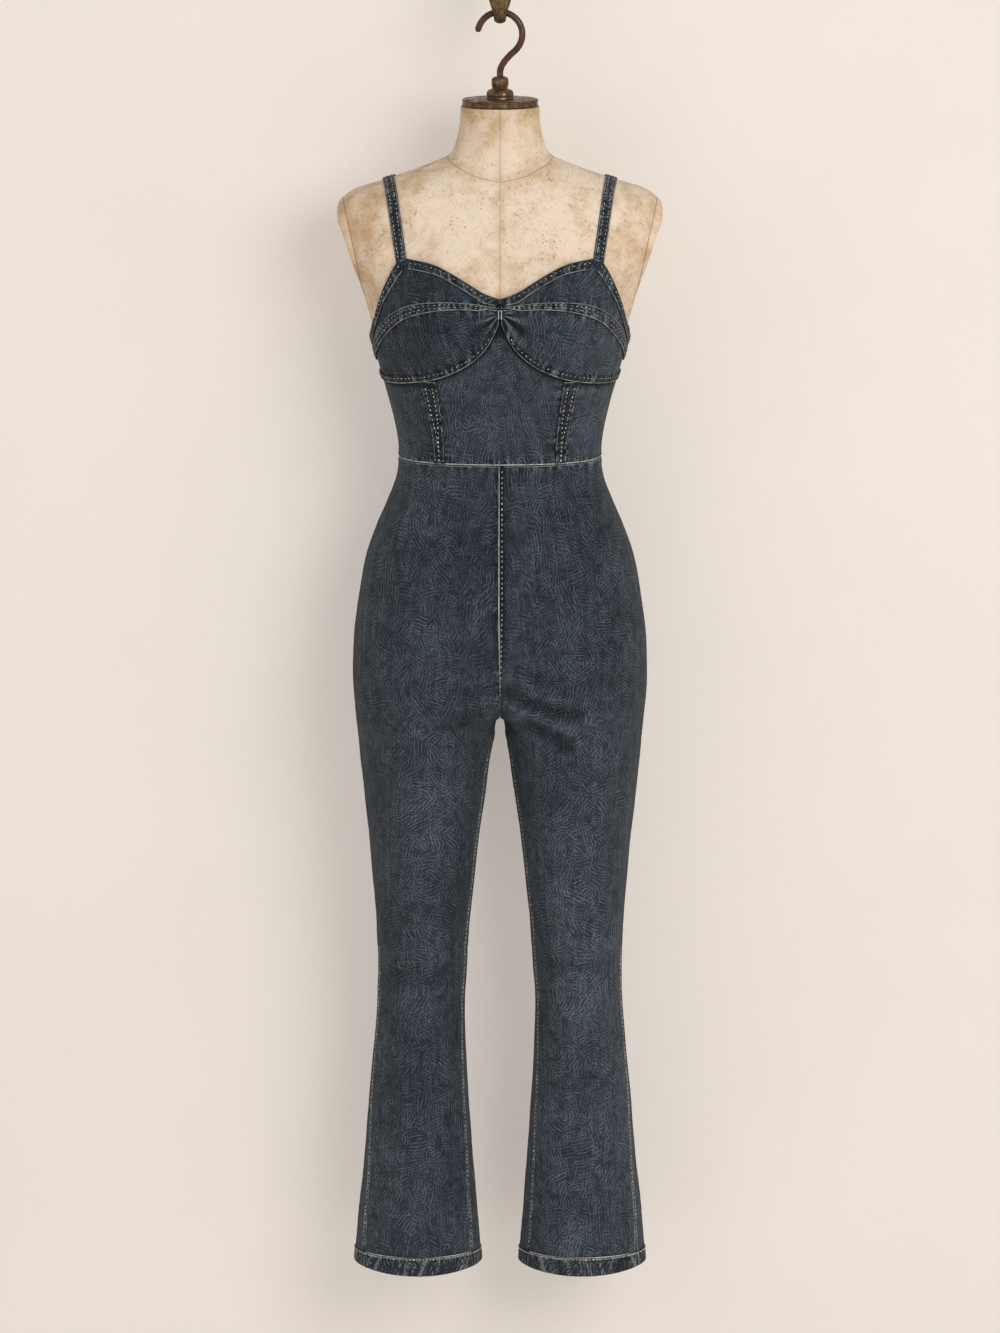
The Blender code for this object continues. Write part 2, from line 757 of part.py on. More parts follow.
# Straps.
def figure_holds(x, y, z):
    """Whether a point is inside the figure."""
    if z > FIGURE_SECTIONS[0][0]:
        return False
    back = y > FIGURE_Y
    low, high = (90.0, 180.0) if back else (0.0, 90.0)
    if figure_point(90.0, z).x <= x:
        return False
    for _ in range(24):
        middle = (low + high) / 2
        wider = figure_point(middle, z).x < x
        if wider != back:
            low = middle
        else:
            high = middle
    return abs(y - FIGURE_Y) < abs(figure_point(middle, z).y - FIGURE_Y)


def strap_place(x, turn):
    """Where a ray from the shoulder's inside leaves the figure, at one x."""
    near, far = 0.0, 0.25
    for _ in range(24):
        middle = (near + far) / 2
        y = FIGURE_Y - middle * math.cos(turn)
        z = STRAP_PIVOT_Z + middle * math.sin(turn)
        if figure_holds(x, y, z):
            near = middle
        else:
            far = middle
    return Vector((x, y, z))


def strap_edges():
    """Three lines of points along a strap: its inner edge, middle and outer edge."""
    lines = []
    for across in (-0.5, 0.0, 0.5):
        line = []
        for i in range(STRAP_STATIONS):
            share = i / (STRAP_STATIONS - 1)
            turn = blend(STRAP_START, STRAP_END, share)
            x = smooth_value(STRAP_LINE, share) + across * STRAP_WIDTH
            line.append(strap_place(x, turn))
        lines.append(line)
    return lines


def make_straps(denim):
    lines = strap_edges()

    def on_strap(across, station, out):
        i = round(station)
        line = lines[across]
        along = line[min(i + 1, STRAP_STATIONS - 1)] - line[max(i - 1, 0)]
        width = lines[2][i] - lines[0][i]
        return line[i] + width.cross(along).normalized() * out

    nodes = [[(across, i) for across in range(3)] for i in range(STRAP_STATIONS)]
    for side_name, side in SIDES:
        cloth_wall(f"strap_{side_name}", side, nodes, on_strap, STRAP_LIFT + STRAP_CLOTH,
                   STRAP_CLOTH, denim)


def make_keeper(denim):
    """The loop that gathers the cups at the centre."""
    nodes = []
    for share in even_shares(4):
        z = blend(KEEPER_LOW_Z, KEEPER_TOP_Z, share)
        nodes.append([(x, z) for x in (-KEEPER_HALF, 0.0, KEEPER_HALF)])

    def over_knot(x, z, out):
        crown = KEEPER_CROWN * (1 - (x / KEEPER_HALF) ** 2)
        place = on_figure(0.1, z, out + crown)
        return Vector((x, place.y, z))

    cloth_wall("centre_keeper", 1, nodes, over_knot, OUTSIDE + KEEPER_OUT, BAND_CLOTH, denim)


# Zip.
def make_zip_chain(metal):
    heights = [row[-1][1] for row in reversed(back_rows()[1:])]
    heights[0] -= CHAIN_TOP_DROP
    heights += [WAIST_Z, *(z for z in SEAT_HEIGHTS if z > ZIP_END_Z)]
    heights.append(ZIP_END_Z + CHAIN_END_CLEAR)
    nodes = [[(x, z) for x in (-CHAIN_HALF, CHAIN_HALF)] for z in heights]

    def in_slot(x, z, out):
        edge = math.degrees(CHAIN_HALF / smooth_value(FIGURE_SECTIONS, z, 1))
        place = on_figure(180 - edge, z, out)
        return Vector((x, place.y, z))

    cloth_wall("zip_chain", 1, nodes, in_slot, OUTSIDE - CHAIN_SUNK, BAND_CLOTH, metal)


def zip_face():
    """A point just clear of the back's face, where the slider is."""
    half = SLIDER_SIZE[2] / 2
    heights = (SLIDER_Z - half, SLIDER_Z, SLIDER_Z + half)
    furthest = max(on_figure(179, z, OUTSIDE + GAP).y for z in heights)
    return Vector((0.0, furthest, SLIDER_Z))


def box(bm, centre, size):
    matrix = Matrix.Translation(centre) @ Matrix.Diagonal((*size, 1.0))
    bmesh.ops.create_cube(bm, size=1.0, matrix=matrix)


def tube_mesh(name, points, radius, material):
    """A wire through the points, as a closed mesh."""
    curve = bpy.data.curves.new(name, "CURVE")
    curve.dimensions = "3D"
    curve.bevel_depth = radius
    curve.bevel_resolution = 2
    curve.use_fill_caps = True
    spline = curve.splines.new("POLY")
    spline.points.add(len(points) - 1)
    for point, place in zip(spline.points, points):
        point.co = (*place, 1.0)
    wire = bpy.data.objects.new(name, curve)
    bpy.context.scene.collection.objects.link(wire)
    depsgraph = bpy.context.evaluated_depsgraph_get()
    mesh = bpy.data.meshes.new_from_object(wire.evaluated_get(depsgraph))
    bpy.data.objects.remove(wire)
    bm = bmesh.new()
    bm.from_mesh(mesh)
    bmesh.ops.remove_doubles(bm, verts=bm.verts[:], dist=0.00001)
    face_outwards(bm)
    return add_object(name, bm, material)


def combine(target, tool, operation):
    """Join a tool object into a target, or cut it away."""
    modifier = target.modifiers.new(operation.lower(), "BOOLEAN")
    modifier.operation = operation
    modifier.solver = "EXACT"
    modifier.object = tool
    tool.display_type = "WIRE"
    tool.hide_render = True
    for collection in list(tool.users_collection):
        collection.objects.unlink(tool)
    CUTTERS.objects.link(tool)


def make_zip_slider(metal):
    face = zip_face()
    depth = SLIDER_SIZE[1]
    bm = bmesh.new()
    box(bm, face + Vector((0.0, depth / 2, 0.0)), SLIDER_SIZE)
    bmesh.ops.bevel(bm, geom=bm.edges[:], offset=SLIDER_CHAMFER, affect="EDGES", segments=1,
                    profile=0.5, material=-1)
    slider = add_object("zip_slider", bm, metal)
    bar_y = face.y + depth + PULL_STANDOFF
    root_y = face.y + depth - BAIL_ROOT
    half = BAIL_SPAN / 2
    route = [
        (-half, root_y, face.z),
        (-half, bar_y - BAIL_CORNER, face.z),
        (-half + BAIL_CORNER, bar_y, face.z),
        (half - BAIL_CORNER, bar_y, face.z),
        (half, bar_y - BAIL_CORNER, face.z),
        (half, root_y, face.z),
    ]
    bail = tube_mesh("zip_bail", route, BAIL_RADIUS, metal)
    combine(slider, bail, "UNION")
    return Vector((0.0, bar_y, face.z))


def cross_cylinder(name, radius, length, material):
    """A cylinder along X, at the origin."""
    bm = bmesh.new()
    bmesh.ops.create_cone(bm, cap_ends=True, segments=PULL_EYE_TURNS, radius1=radius,
                          radius2=radius, depth=length,
                          matrix=Matrix.Rotation(math.pi / 2, 4, "Y"))
    return add_object(name, bm, material)


def make_pull_tab(hinge, metal):
    """The pull tab: an eye round the slider's bail, and a plate that hangs from it."""
    width, depth, length = PULL_TAB
    eye = cross_cylinder("zip_pull_tab", PULL_EYE_OUTER, PULL_EYE_WIDTH, metal)
    bm = bmesh.new()
    box(bm, Vector((0.0, 0.0, -PULL_TAB_DROP - length / 2)), (width, depth, length))
    edges = [edge for edge in bm.edges if abs(edge.verts[0].co.y - edge.verts[1].co.y) > depth / 2]
    bmesh.ops.bevel(bm, geom=edges, offset=PULL_TAB_CORNER, affect="EDGES", segments=2,
                    profile=0.5, material=-1)
    plate = add_object("pull_plate", bm, metal)
    bore = cross_cylinder("pull_bore", PULL_EYE_INNER, 2 * PULL_EYE_WIDTH, metal)
    combine(eye, plate, "UNION")
    combine(eye, bore, "DIFFERENCE")
    for item in (eye, plate, bore):
        item.location = hinge
    return eye


# Dress form.
def make_form_torso(paper):
    """The torso: a loft through the figure's sections, cut flat at the arms."""
    bm = bmesh.new()
    loops = []
    for z in FORM_HEIGHTS:
        ring = []
        for i in range(FORM_TURNS):
            degrees = 360 * i / FORM_TURNS
            slack = FORM_SLACK * ease_between(FORM_SLACK_TOP_Z, FORM_SLACK_FULL_Z, z)
            place = on_figure(min(degrees, 360 - degrees), z, -slack)
            ring.append(bm.verts.new((place.x if degrees <= 180 else -place.x, place.y, z)))
        loops.append(ring)
    loft_faces(bm, loops)
    bm.faces.new(loops[0])
    bm.faces.new(loops[-1])
    for way in (1, -1):
        normal = Vector((way, 0.0, -ARM_CUT_SLOPE)).normalized()
        place = Vector((way * ARM_CUT_X, FIGURE_Y, ARM_CUT_Z))
        cut = bmesh.ops.bisect_plane(bm, geom=bm.verts[:] + bm.edges[:] + bm.faces[:],
                                     plane_co=place, plane_no=normal, clear_outer=True)
        rim = [item for item in cut["geom_cut"] if isinstance(item, bmesh.types.BMEdge)]
        bmesh.ops.holes_fill(bm, edges=rim)
    face_outwards(bm)
    outlines = {}
    for face in bm.faces:
        if len(face.verts) > 6 and abs(face.normal.x) > 0.5:
            outlines[1 if face.normal.x > 0 else -1] = [v.co.copy() for v in face.verts]
    add_object("form_torso", bm, paper)
    return outlines


def make_arm_plates(outlines, paper):
    """Caps on the arm cuts, thicker at the shoulder than at the lower tip."""
    for side_name, side in SIDES:
        outline = outlines[side]
        middle = sum(outline, Vector()) / len(outline)
        bm = bmesh.new()
        seat = []
        rim = []
        for place in outline:
            seat.append(bm.verts.new(place + Vector((side * GAP, 0.0, 0.0))))
            face = middle + (place - middle) * ARM_FACE_SHRINK
            down = ARM_CUT_Z - face.z
            reach = min(ARM_FACE_X, ARM_FACE_X - ARM_FACE_SLOPE * down)
            rim.append(bm.verts.new((side * reach, face.y, face.z)))
        loft_faces(bm, [seat, rim])
        bm.faces.new(seat)
        bm.faces.new(rim)
        bmesh.ops.triangulate(bm, faces=bm.faces[:])
        face_outwards(bm)
        add_object(f"form_arm_plate_{side_name}", bm, paper)


def turned(name, profile, material, steps):
    """A turned piece about the figure's axis: profile is (radius, z), top to bottom."""
    bm = bmesh.new()
    verts = [bm.verts.new((radius, 0.0, z)) for radius, z in profile]
    for low, high in zip(verts, verts[1:]):
        bm.edges.new((low, high))
    item = add_object(name, bm, material)
    item.location = (0.0, FIGURE_Y, 0.0)
    screw = item.modifiers.new("turn", "SCREW")
    screw.angle = 2 * math.pi
    screw.steps = steps
    screw.render_steps = steps
    screw.use_merge_vertices = True
    screw.merge_threshold = 0.00001
    return item


def make_cap(bronze):
    turned("form_neck_cap", (
        (0.0, CAP_TOP_Z),
        (CAP_RADIUS - CAP_CHAMFER, CAP_TOP_Z),
        (CAP_RADIUS, CAP_TOP_Z - CAP_CHAMFER),
        (CAP_RADIUS, CAP_BOTTOM_Z + CAP_CHAMFER),
        (CAP_RADIUS - CAP_CHAMFER, CAP_BOTTOM_Z),
        (0.0, CAP_BOTTOM_Z),
    ), bronze, 36)
    turned("form_collar", (
        (0.0, KNOB_TOP_Z),
        (0.0052, KNOB_TOP_Z),
        (0.0086, KNOB_TOP_Z - 0.0016),
        (KNOB_RADIUS, KNOB_TOP_Z - 0.0050),
        (KNOB_RADIUS, FLANGE_TOP_Z + 0.0030),
        (KNOB_RADIUS - 0.0012, FLANGE_TOP_Z + 0.0008),
        (FLANGE_RADIUS - 0.0015, FLANGE_TOP_Z),
        (FLANGE_RADIUS, FLANGE_TOP_Z - 0.0015),
        (FLANGE_RADIUS, CAP_TOP_Z + GAP),
        (0.0, CAP_TOP_Z + GAP),
    ), bronze, 24)


def hook_route():
    """The form's hook: a round bend over the wall hook, then down to the collar."""
    centre_z = HOOK_CROWN_Z - HOOK_BEND
    route = []
    for share in even_shares(HOOK_BEND_STEPS):
        turn = blend(HOOK_TIP_TURN, HOOK_LOW_TURN, share)
        route.append((HOOK_BEND * math.cos(turn), FIGURE_Y, centre_z + HOOK_BEND * math.sin(turn)))
    start = Vector(route[-1])
    start_way = Vector((math.sin(HOOK_LOW_TURN), 0.0, -math.cos(HOOK_LOW_TURN)))
    start_way *= HOOK_NECK_PULL
    foot = Vector((0.0, FIGURE_Y, KNOB_TOP_Z + GAP))
    end = foot + Vector((0.0, 0.0, HOOK_FOOT))
    end_way = Vector((0.0, 0.0, -HOOK_NECK_PULL))
    for t in even_shares(HOOK_NECK_STEPS)[1:]:
        place = (start * (1 + 2 * t) * (1 - t) ** 2 + end * t * t * (3 - 2 * t)
                 + start_way * t * (1 - t) ** 2 - end_way * t * t * (1 - t))
        route.append(tuple(place))
    route.append(tuple(foot))
    return route


def make_wall_hook(brass):
    bm = bmesh.new()
    loops = []
    last = len(WALL_HOOK) - 1
    for i, (y, z, half_width, half_thick) in enumerate(WALL_HOOK):
        before, after = WALL_HOOK[max(i - 1, 0)], WALL_HOOK[min(i + 1, last)]
        along = Vector((0.0, after[0] - before[0], after[1] - before[1])).normalized()
        if i == 0:
            along = Vector((0.0, -1.0, 0.0))
        up = Vector((1.0, 0.0, 0.0)).cross(along)
        ring = []
        for k in range(WALL_HOOK_TURNS):
            turn = 2 * math.pi * k / WALL_HOOK_TURNS
            place = Vector((half_width * math.cos(turn), y, z)) + up * half_thick * math.sin(turn)
            ring.append(bm.verts.new(place))
        loops.append(ring)
    loft_faces(bm, loops)
    bm.faces.new(loops[0])
    bm.faces.new(loops[-1])
    face_outwards(bm)
    add_object("wall_hook", bm, brass)

    bm = bmesh.new()
    box(bm, Vector((0.0, -PLATE_SIZE[1] / 2, 0.0)), PLATE_SIZE)
    corners = [edge for edge in bm.edges
               if abs(edge.verts[0].co.y - edge.verts[1].co.y) > PLATE_SIZE[1] / 2]
    bmesh.ops.bevel(bm, geom=corners, offset=PLATE_CORNER, affect="EDGES", segments=4,
                    profile=0.5, material=-1)
    add_object("wall_plate", bm, brass)


def build():
    denim = principled("washed_denim", (0.055, 0.075, 0.100), 0.88)
    band_denim = principled("stitched_denim", (0.048, 0.064, 0.086), 0.88)
    metal = principled("zip_metal", (0.34, 0.29, 0.22), 0.35, 1.0)
    paper = principled("aged_papier_mache", (0.68, 0.56, 0.40), 0.75)
    bronze = principled("dark_bronze", (0.16, 0.10, 0.06), 0.42, 1.0)
    rust = principled("red_brown_steel", (0.17, 0.055, 0.035), 0.45, 0.8)
    brass = principled("aged_brass", (0.30, 0.20, 0.09), 0.42, 1.0)
    for side_name, side in SIDES:
        make_cups(side_name, side, denim, band_denim)
    make_midriff(denim, band_denim)
    make_back(denim, band_denim)
    make_keeper(band_denim)
    make_straps(band_denim)
    make_trousers(denim)
    make_hems(band_denim)
    make_zip_chain(metal)
    hinge = make_zip_slider(metal)
    make_pull_tab(hinge, metal)
    outlines = make_form_torso(paper)
    make_arm_plates(outlines, paper)
    make_cap(bronze)
    tube_mesh("form_hook", hook_route(), HOOK_WIRE, rust)
    make_wall_hook(brass)


build()
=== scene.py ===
"""Denim jumpsuit on a hanging dress form. Metres, +Z up, front towards -Y, wall at y = 0."""
import math

import bmesh
import bpy
import numpy as np
from mathutils import Matrix, Vector


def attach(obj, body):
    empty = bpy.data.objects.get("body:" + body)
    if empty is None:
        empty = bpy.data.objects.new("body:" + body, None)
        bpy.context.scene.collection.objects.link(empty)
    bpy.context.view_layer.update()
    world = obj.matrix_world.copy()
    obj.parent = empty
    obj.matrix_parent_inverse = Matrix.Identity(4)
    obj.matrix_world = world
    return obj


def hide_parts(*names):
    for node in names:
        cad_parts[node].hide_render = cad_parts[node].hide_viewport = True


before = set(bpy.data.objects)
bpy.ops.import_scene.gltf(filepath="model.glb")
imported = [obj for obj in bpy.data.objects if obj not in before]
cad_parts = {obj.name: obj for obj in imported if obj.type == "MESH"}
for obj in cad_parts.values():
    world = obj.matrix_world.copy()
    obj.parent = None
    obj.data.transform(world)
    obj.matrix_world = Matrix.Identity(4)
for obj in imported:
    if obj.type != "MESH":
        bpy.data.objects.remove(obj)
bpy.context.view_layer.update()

# The wall hook is a cast brass arm that swells in its middle, drops and turns up into
# a tongue. It is screwed to the wall by a small plate, and is dull and browned with age.
BODY = "jumpsuit_and_form"
FIGURE_Y = -0.14
HOOK_ARM = (
    (-0.0063, 0.0000, 0.0150, 0.0150),
    (-0.0120, 0.0000, 0.0140, 0.0135),
    (-0.0300, 0.0010, 0.0105, 0.0095),
    (-0.0700, 0.0020, 0.0120, 0.0080),
    (-0.1000, -0.0020, 0.0155, 0.0065),
    (-0.1150, -0.0130, 0.0165, 0.0055),
    (-0.1230, -0.0260, 0.0130, 0.0050),
    (-0.1275, -0.0370, 0.0095, 0.0046),
    (-0.1325, -0.0445, 0.0076, 0.0046),
    (-0.1400, -0.0467, 0.0073, 0.0046),
    (-0.1475, -0.0445, 0.0073, 0.0046),
    (-0.1520, -0.0360, 0.0073, 0.0046),
    (-0.1540, -0.0230, 0.0073, 0.0046),
    (-0.1550, -0.0100, 0.0071, 0.0045),
    (-0.1560, 0.0000, 0.0056, 0.0036),
    (-0.1562, 0.0040, 0.0022, 0.0016),
)
HOOK_PLATE = (0.040, 0.0060, 0.060)
PLATE_CORNER = 0.010
PLATE_EDGE = 0.0012
SCREW_RADIUS = 0.0034
SCREW_HEIGHTS = (-0.022, 0.022)
SCREW_PROUD = 0.0006


def add_node(tree, kind, inputs=None, **settings):
    """A shader node with its settings, and its inputs set or linked."""
    node = tree.nodes.new(kind)
    for key, value in settings.items():
        setattr(node, key, value)
    for key, value in (inputs or {}).items():
        if isinstance(value, bpy.types.NodeSocket):
            tree.links.new(value, node.inputs[key])
        else:
            node.inputs[key].default_value = value
    return node


def work_out(tree, operation, *values, clamp=False):
    """One step of arithmetic on values in a shader."""
    return add_node(tree, "ShaderNodeMath", dict(enumerate(values)), operation=operation,
                    use_clamp=clamp).outputs[0]


def times(tree, first, second, clamp=False):
    return work_out(tree, "MULTIPLY", first, second, clamp=clamp)


def mix_colours(tree, share, first, second):
    inputs = {0: share, 6: first, 7: second}
    return add_node(tree, "ShaderNodeMix", inputs, data_type="RGBA").outputs[2]


def remap(tree, value, low, high, to_low=0.0, to_high=1.0):
    """A value carried smoothly from one range to another."""
    inputs = {"Value": value, "From Min": low, "From Max": high, "To Min": to_low,
              "To Max": to_high}
    return add_node(tree, "ShaderNodeMapRange", inputs, interpolation_type="SMOOTHSTEP").outputs[0]


def noise(tree, place, scale, detail=3.0, roughness=0.5):
    inputs = {"Vector": place, "Scale": scale, "Detail": detail, "Roughness": roughness}
    return add_node(tree, "ShaderNodeTexNoise", inputs).outputs[0]


def stretched_place(tree, place, scale, turn=None):
    """The place turned by Euler angles, then scaled along its axes."""
    if turn:
        place = add_node(tree, "ShaderNodeVectorRotate", {"Vector": place, "Rotation": turn},
                         rotation_type="EULER_XYZ").outputs[0]
    return add_node(tree, "ShaderNodeMapping", {"Vector": place, "Scale": scale}).outputs[0]


def new_group(name, inputs, outputs):
    """A node group with named sockets: its tree, what it is given and what it puts out."""
    tree = bpy.data.node_groups.new(name, "ShaderNodeTree")
    for direction, sockets in (("INPUT", inputs), ("OUTPUT", outputs)):
        for socket_name, kind in sockets:
            tree.interface.new_socket(socket_name, in_out=direction, socket_type=kind)
    return tree, tree.nodes.new("NodeGroupInput").outputs, tree.nodes.new("NodeGroupOutput").inputs


COLOUR, NUMBER = "NodeSocketColor", "NodeSocketFloat"
tree, given, result = new_group(
    "metal_ageing", (("Metal", COLOUR), ("Tarnish", COLOUR), ("Amount", NUMBER)),
    (("Colour", COLOUR), ("Roughness", NUMBER), ("Height", NUMBER)))
place = add_node(tree, "ShaderNodeTexCoord").outputs["Object"]
patches = noise(tree, place, 130, 6, 0.62)
specks = noise(tree, place, 900, 3, 0.6)
tarnished = work_out(tree, "ADD", patches, times(tree, specks, 0.35))
tarnished = times(tree, remap(tree, tarnished, 0.48, 0.82), given["Amount"])
tree.links.new(mix_colours(tree, tarnished, given["Metal"], given["Tarnish"]), result["Colour"])
tree.links.new(remap(tree, tarnished, 0.0, 1.0, 0.30, 0.62), result["Roughness"])
tree.links.new(work_out(tree, "ADD", patches, times(tree, specks, 0.5)), result["Height"])
METAL_AGEING = tree


def new_material(name, group, values, bump, **settings):
    """A Principled material fed by a group: its colour, roughness and height."""
    material = bpy.data.materials.new(name)
    material.use_nodes = True
    tree = material.node_tree
    shader = tree.nodes["Principled BSDF"]
    look = add_node(tree, "ShaderNodeGroup", node_tree=group)
    for key, value in values.items():
        look.inputs[key].default_value = value
    tree.links.new(look.outputs["Colour"], shader.inputs["Base Color"])
    tree.links.new(look.outputs["Roughness"], shader.inputs["Roughness"])
    raised = add_node(tree, "ShaderNodeBump",
                      {"Strength": 1.0, "Distance": bump, "Height": look.outputs["Height"]})
    tree.links.new(raised.outputs[0], shader.inputs["Normal"])
    for key, value in settings.items():
        shader.inputs[key.replace("_", " ")].default_value = value
    return material


aged_brass = new_material(
    "aged_brass", METAL_AGEING,
    {"Metal": (0.20, 0.128, 0.066, 1), "Tarnish": (0.048, 0.031, 0.018, 1), "Amount": 0.85},
    0.0003, Metallic=0.9)


def add_piece(name, mesh, material, slot, *nodes, sharp=35.0):
    """Show a mesh as a piece that rides on the body and stands for its CAD nodes."""
    mesh.shade_smooth()
    mesh.set_sharp_from_angle(angle=math.radians(sharp))
    item = bpy.data.objects.new(name, mesh)
    mesh.materials.append(material)
    bpy.context.scene.collection.objects.link(item)
    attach(item, BODY)
    if nodes:
        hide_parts(*nodes)
    return item


def finish_bmesh(bm, name):
    mesh = bpy.data.meshes.new(name)
    bm.to_mesh(mesh)
    bm.free()
    return mesh


def read_curve(rows, keys, column=1):
    """Read a column at keys by a smooth curve through rows of numbers."""
    rows = np.array(rows, float)
    if rows[-1, 0] < rows[0, 0]:
        rows = rows[::-1]
    at, value = rows[:, 0], rows[:, column]
    last = len(at) - 1
    low = np.clip(np.searchsorted(at, keys, side="right") - 1, 0, last - 1)
    before, after = np.maximum(low - 1, 0), np.minimum(low + 2, last)
    span = at[low + 1] - at[low]
    t = np.clip((keys - at[low]) / span, 0, 1)
    lead_in = (value[low + 1] - value[before]) / (at[low + 1] - at[before]) * span
    lead_out = (value[after] - value[low]) / (at[after] - at[low]) * span
    rise = t * t * (3 - 2 * t)
    return (value[low] + (value[low + 1] - value[low]) * rise
            + lead_in * t * (1 - t) ** 2 - lead_out * t * t * (1 - t))


def unit(vectors):
    """Vectors made one long."""
    return vectors / np.linalg.norm(vectors, axis=-1, keepdims=True)


def read_places(mesh):
    """A mesh's vertices as rows of x, y and z."""
    flat = np.empty(len(mesh.vertices) * 3, np.float32)
    mesh.vertices.foreach_get("co", flat)
    return flat.reshape(-1, 3).astype(float)


def write_places(mesh, places):
    mesh.vertices.foreach_set("co", places.astype(np.float32).ravel())


def grid_mesh(name, places):
    """A grid of faces whose vertices are moved to rows and columns of places."""
    rows, columns = places.shape[:2]
    bm = bmesh.new()
    bmesh.ops.create_grid(bm, x_segments=columns - 1, y_segments=rows - 1, size=0.5)
    mesh = finish_bmesh(bm, name)
    flat = read_places(mesh) + 0.5
    column = np.rint(flat[:, 0] * (columns - 1)).astype(int)
    row = np.rint(flat[:, 1] * (rows - 1)).astype(int)
    write_places(mesh, places[row, column])
    return mesh, row, column


SAME_PLACE = 0.000005


def closed_tube(name, places):
    """A closed solid from rings of places, whose first and last columns meet."""
    mesh = grid_mesh(name, places)[0]
    bm = bmesh.new()
    bm.from_mesh(mesh)
    bmesh.ops.remove_doubles(bm, verts=bm.verts[:], dist=SAME_PLACE)
    bmesh.ops.holes_fill(bm, edges=[edge for edge in bm.edges if edge.is_boundary])
    bmesh.ops.recalc_face_normals(bm, faces=bm.faces[:])
    if bm.calc_volume(signed=True) < 0:
        bmesh.ops.reverse_faces(bm, faces=bm.faces[:])
    bm.to_mesh(mesh)
    bm.free()
    return mesh


arm_rows = np.array([(i, *row) for i, row in enumerate(HOOK_ARM)])
stations = np.linspace(0, len(HOOK_ARM) - 1, 90)
arm = np.stack([read_curve(arm_rows, stations, column) for column in (1, 2, 3, 4)], 1)
along = np.gradient(arm[:, :2], axis=0)
along[0] = (-1.0, 0.0)
along = unit(along)
turns = np.linspace(0, 2 * np.pi, 41)
across_arm = arm[:, 2:3] * np.cos(turns)
up_arm = arm[:, 3:4] * np.sin(turns)
rings = np.stack([across_arm, arm[:, 0:1] - along[:, 1:2] * up_arm,
                  arm[:, 1:2] + along[:, 0:1] * up_arm], 2)
add_piece("wall_hook_arm", closed_tube("wall_hook_arm", rings), aged_brass, "brass",
          "wall_hook")

bm = bmesh.new()
bmesh.ops.create_cube(bm, size=1.0, matrix=Matrix.Translation((0, -HOOK_PLATE[1] / 2, 0))
                      @ Matrix.Diagonal((*HOOK_PLATE, 1.0)))
corners = [edge for edge in bm.edges if abs(edge.verts[0].co.y - edge.verts[1].co.y) > 0.003]
bmesh.ops.bevel(bm, geom=corners, offset=PLATE_CORNER, affect="EDGES", segments=8, profile=0.5,
                material=-1)
front_rim = [edge for edge in bm.edges
             if all(vert.co.y < -HOOK_PLATE[1] + 0.0001 for vert in edge.verts)]
bmesh.ops.bevel(bm, geom=front_rim, offset=PLATE_EDGE, affect="EDGES", segments=3, profile=0.5,
                material=-1)
for height in SCREW_HEIGHTS:
    head = Matrix.Translation((0, -HOOK_PLATE[1] - SCREW_PROUD, height))
    bmesh.ops.create_uvsphere(bm, u_segments=20, v_segments=10, radius=SCREW_RADIUS,
                              matrix=head @ Matrix.Diagonal((1, 0.35, 1, 1)))
add_piece("wall_hook_plate", finish_bmesh(bm, "wall_hook_plate"), aged_brass, "brass",
          "wall_plate")

# The form's own hook is a bent steel bar in worn red-brown lacquer. It turns over the
# wall hook, swings back to the middle and screws into the collar.
HOOK_WIRE = 0.0040
HOOK_BEND = 0.0268
HOOK_CROWN_Z = -0.0374
HOOK_TIP_TURN = math.radians(174)
HOOK_LOW_TURN = math.radians(-48)
HOOK_PULL = 0.030
KNOB_TOP_Z = -0.1150
TIP_TAPER = (0.55, 0.82, 0.94, 0.99)

centre_z = HOOK_CROWN_Z - HOOK_BEND
bend_turns = np.linspace(HOOK_TIP_TURN, HOOK_LOW_TURN, 70)
bend = np.stack([HOOK_BEND * np.cos(bend_turns), centre_z + HOOK_BEND * np.sin(bend_turns)], 1)
foot = np.array((0.0, KNOB_TOP_Z + 0.0003))
neck_end = foot + (0.0, 0.004)
start_way = HOOK_PULL * np.array((math.sin(HOOK_LOW_TURN), -math.cos(HOOK_LOW_TURN)))
end_way = np.array((0.0, -HOOK_PULL))
t = np.linspace(0, 1, 30)[1:, None]
neck = (bend[-1] * (1 + 2 * t) * (1 - t) ** 2 + neck_end * t * t * (3 - 2 * t)
        + start_way * t * (1 - t) ** 2 - end_way * t * t * (1 - t))
route = np.concatenate([bend, neck, foot[None]])
along = unit(np.gradient(route, axis=0))
turns = np.linspace(0, 2 * np.pi, 25)
thick = np.full(len(route), HOOK_WIRE)
thick[:len(TIP_TAPER)] *= TIP_TAPER
rings = np.stack([route[:, 0:1] + thick[:, None] * along[:, 1:2] * np.sin(turns),
                  FIGURE_Y + thick[:, None] * np.cos(turns),
                  route[:, 1:2] - thick[:, None] * along[:, 0:1] * np.sin(turns)], 2)
worn_lacquer = new_material(
    "worn_red_brown_lacquer", METAL_AGEING,
    {"Metal": (0.095, 0.022, 0.014, 1), "Tarnish": (0.020, 0.011, 0.009, 1), "Amount": 0.85},
    0.0001, Metallic=0.3, Specular_IOR_Level=0.4, Coat_Weight=0.3, Coat_Roughness=0.12)
add_piece("form_hook_bar", closed_tube("form_hook_bar", rings), worn_lacquer, "hook_steel",
          "form_hook")

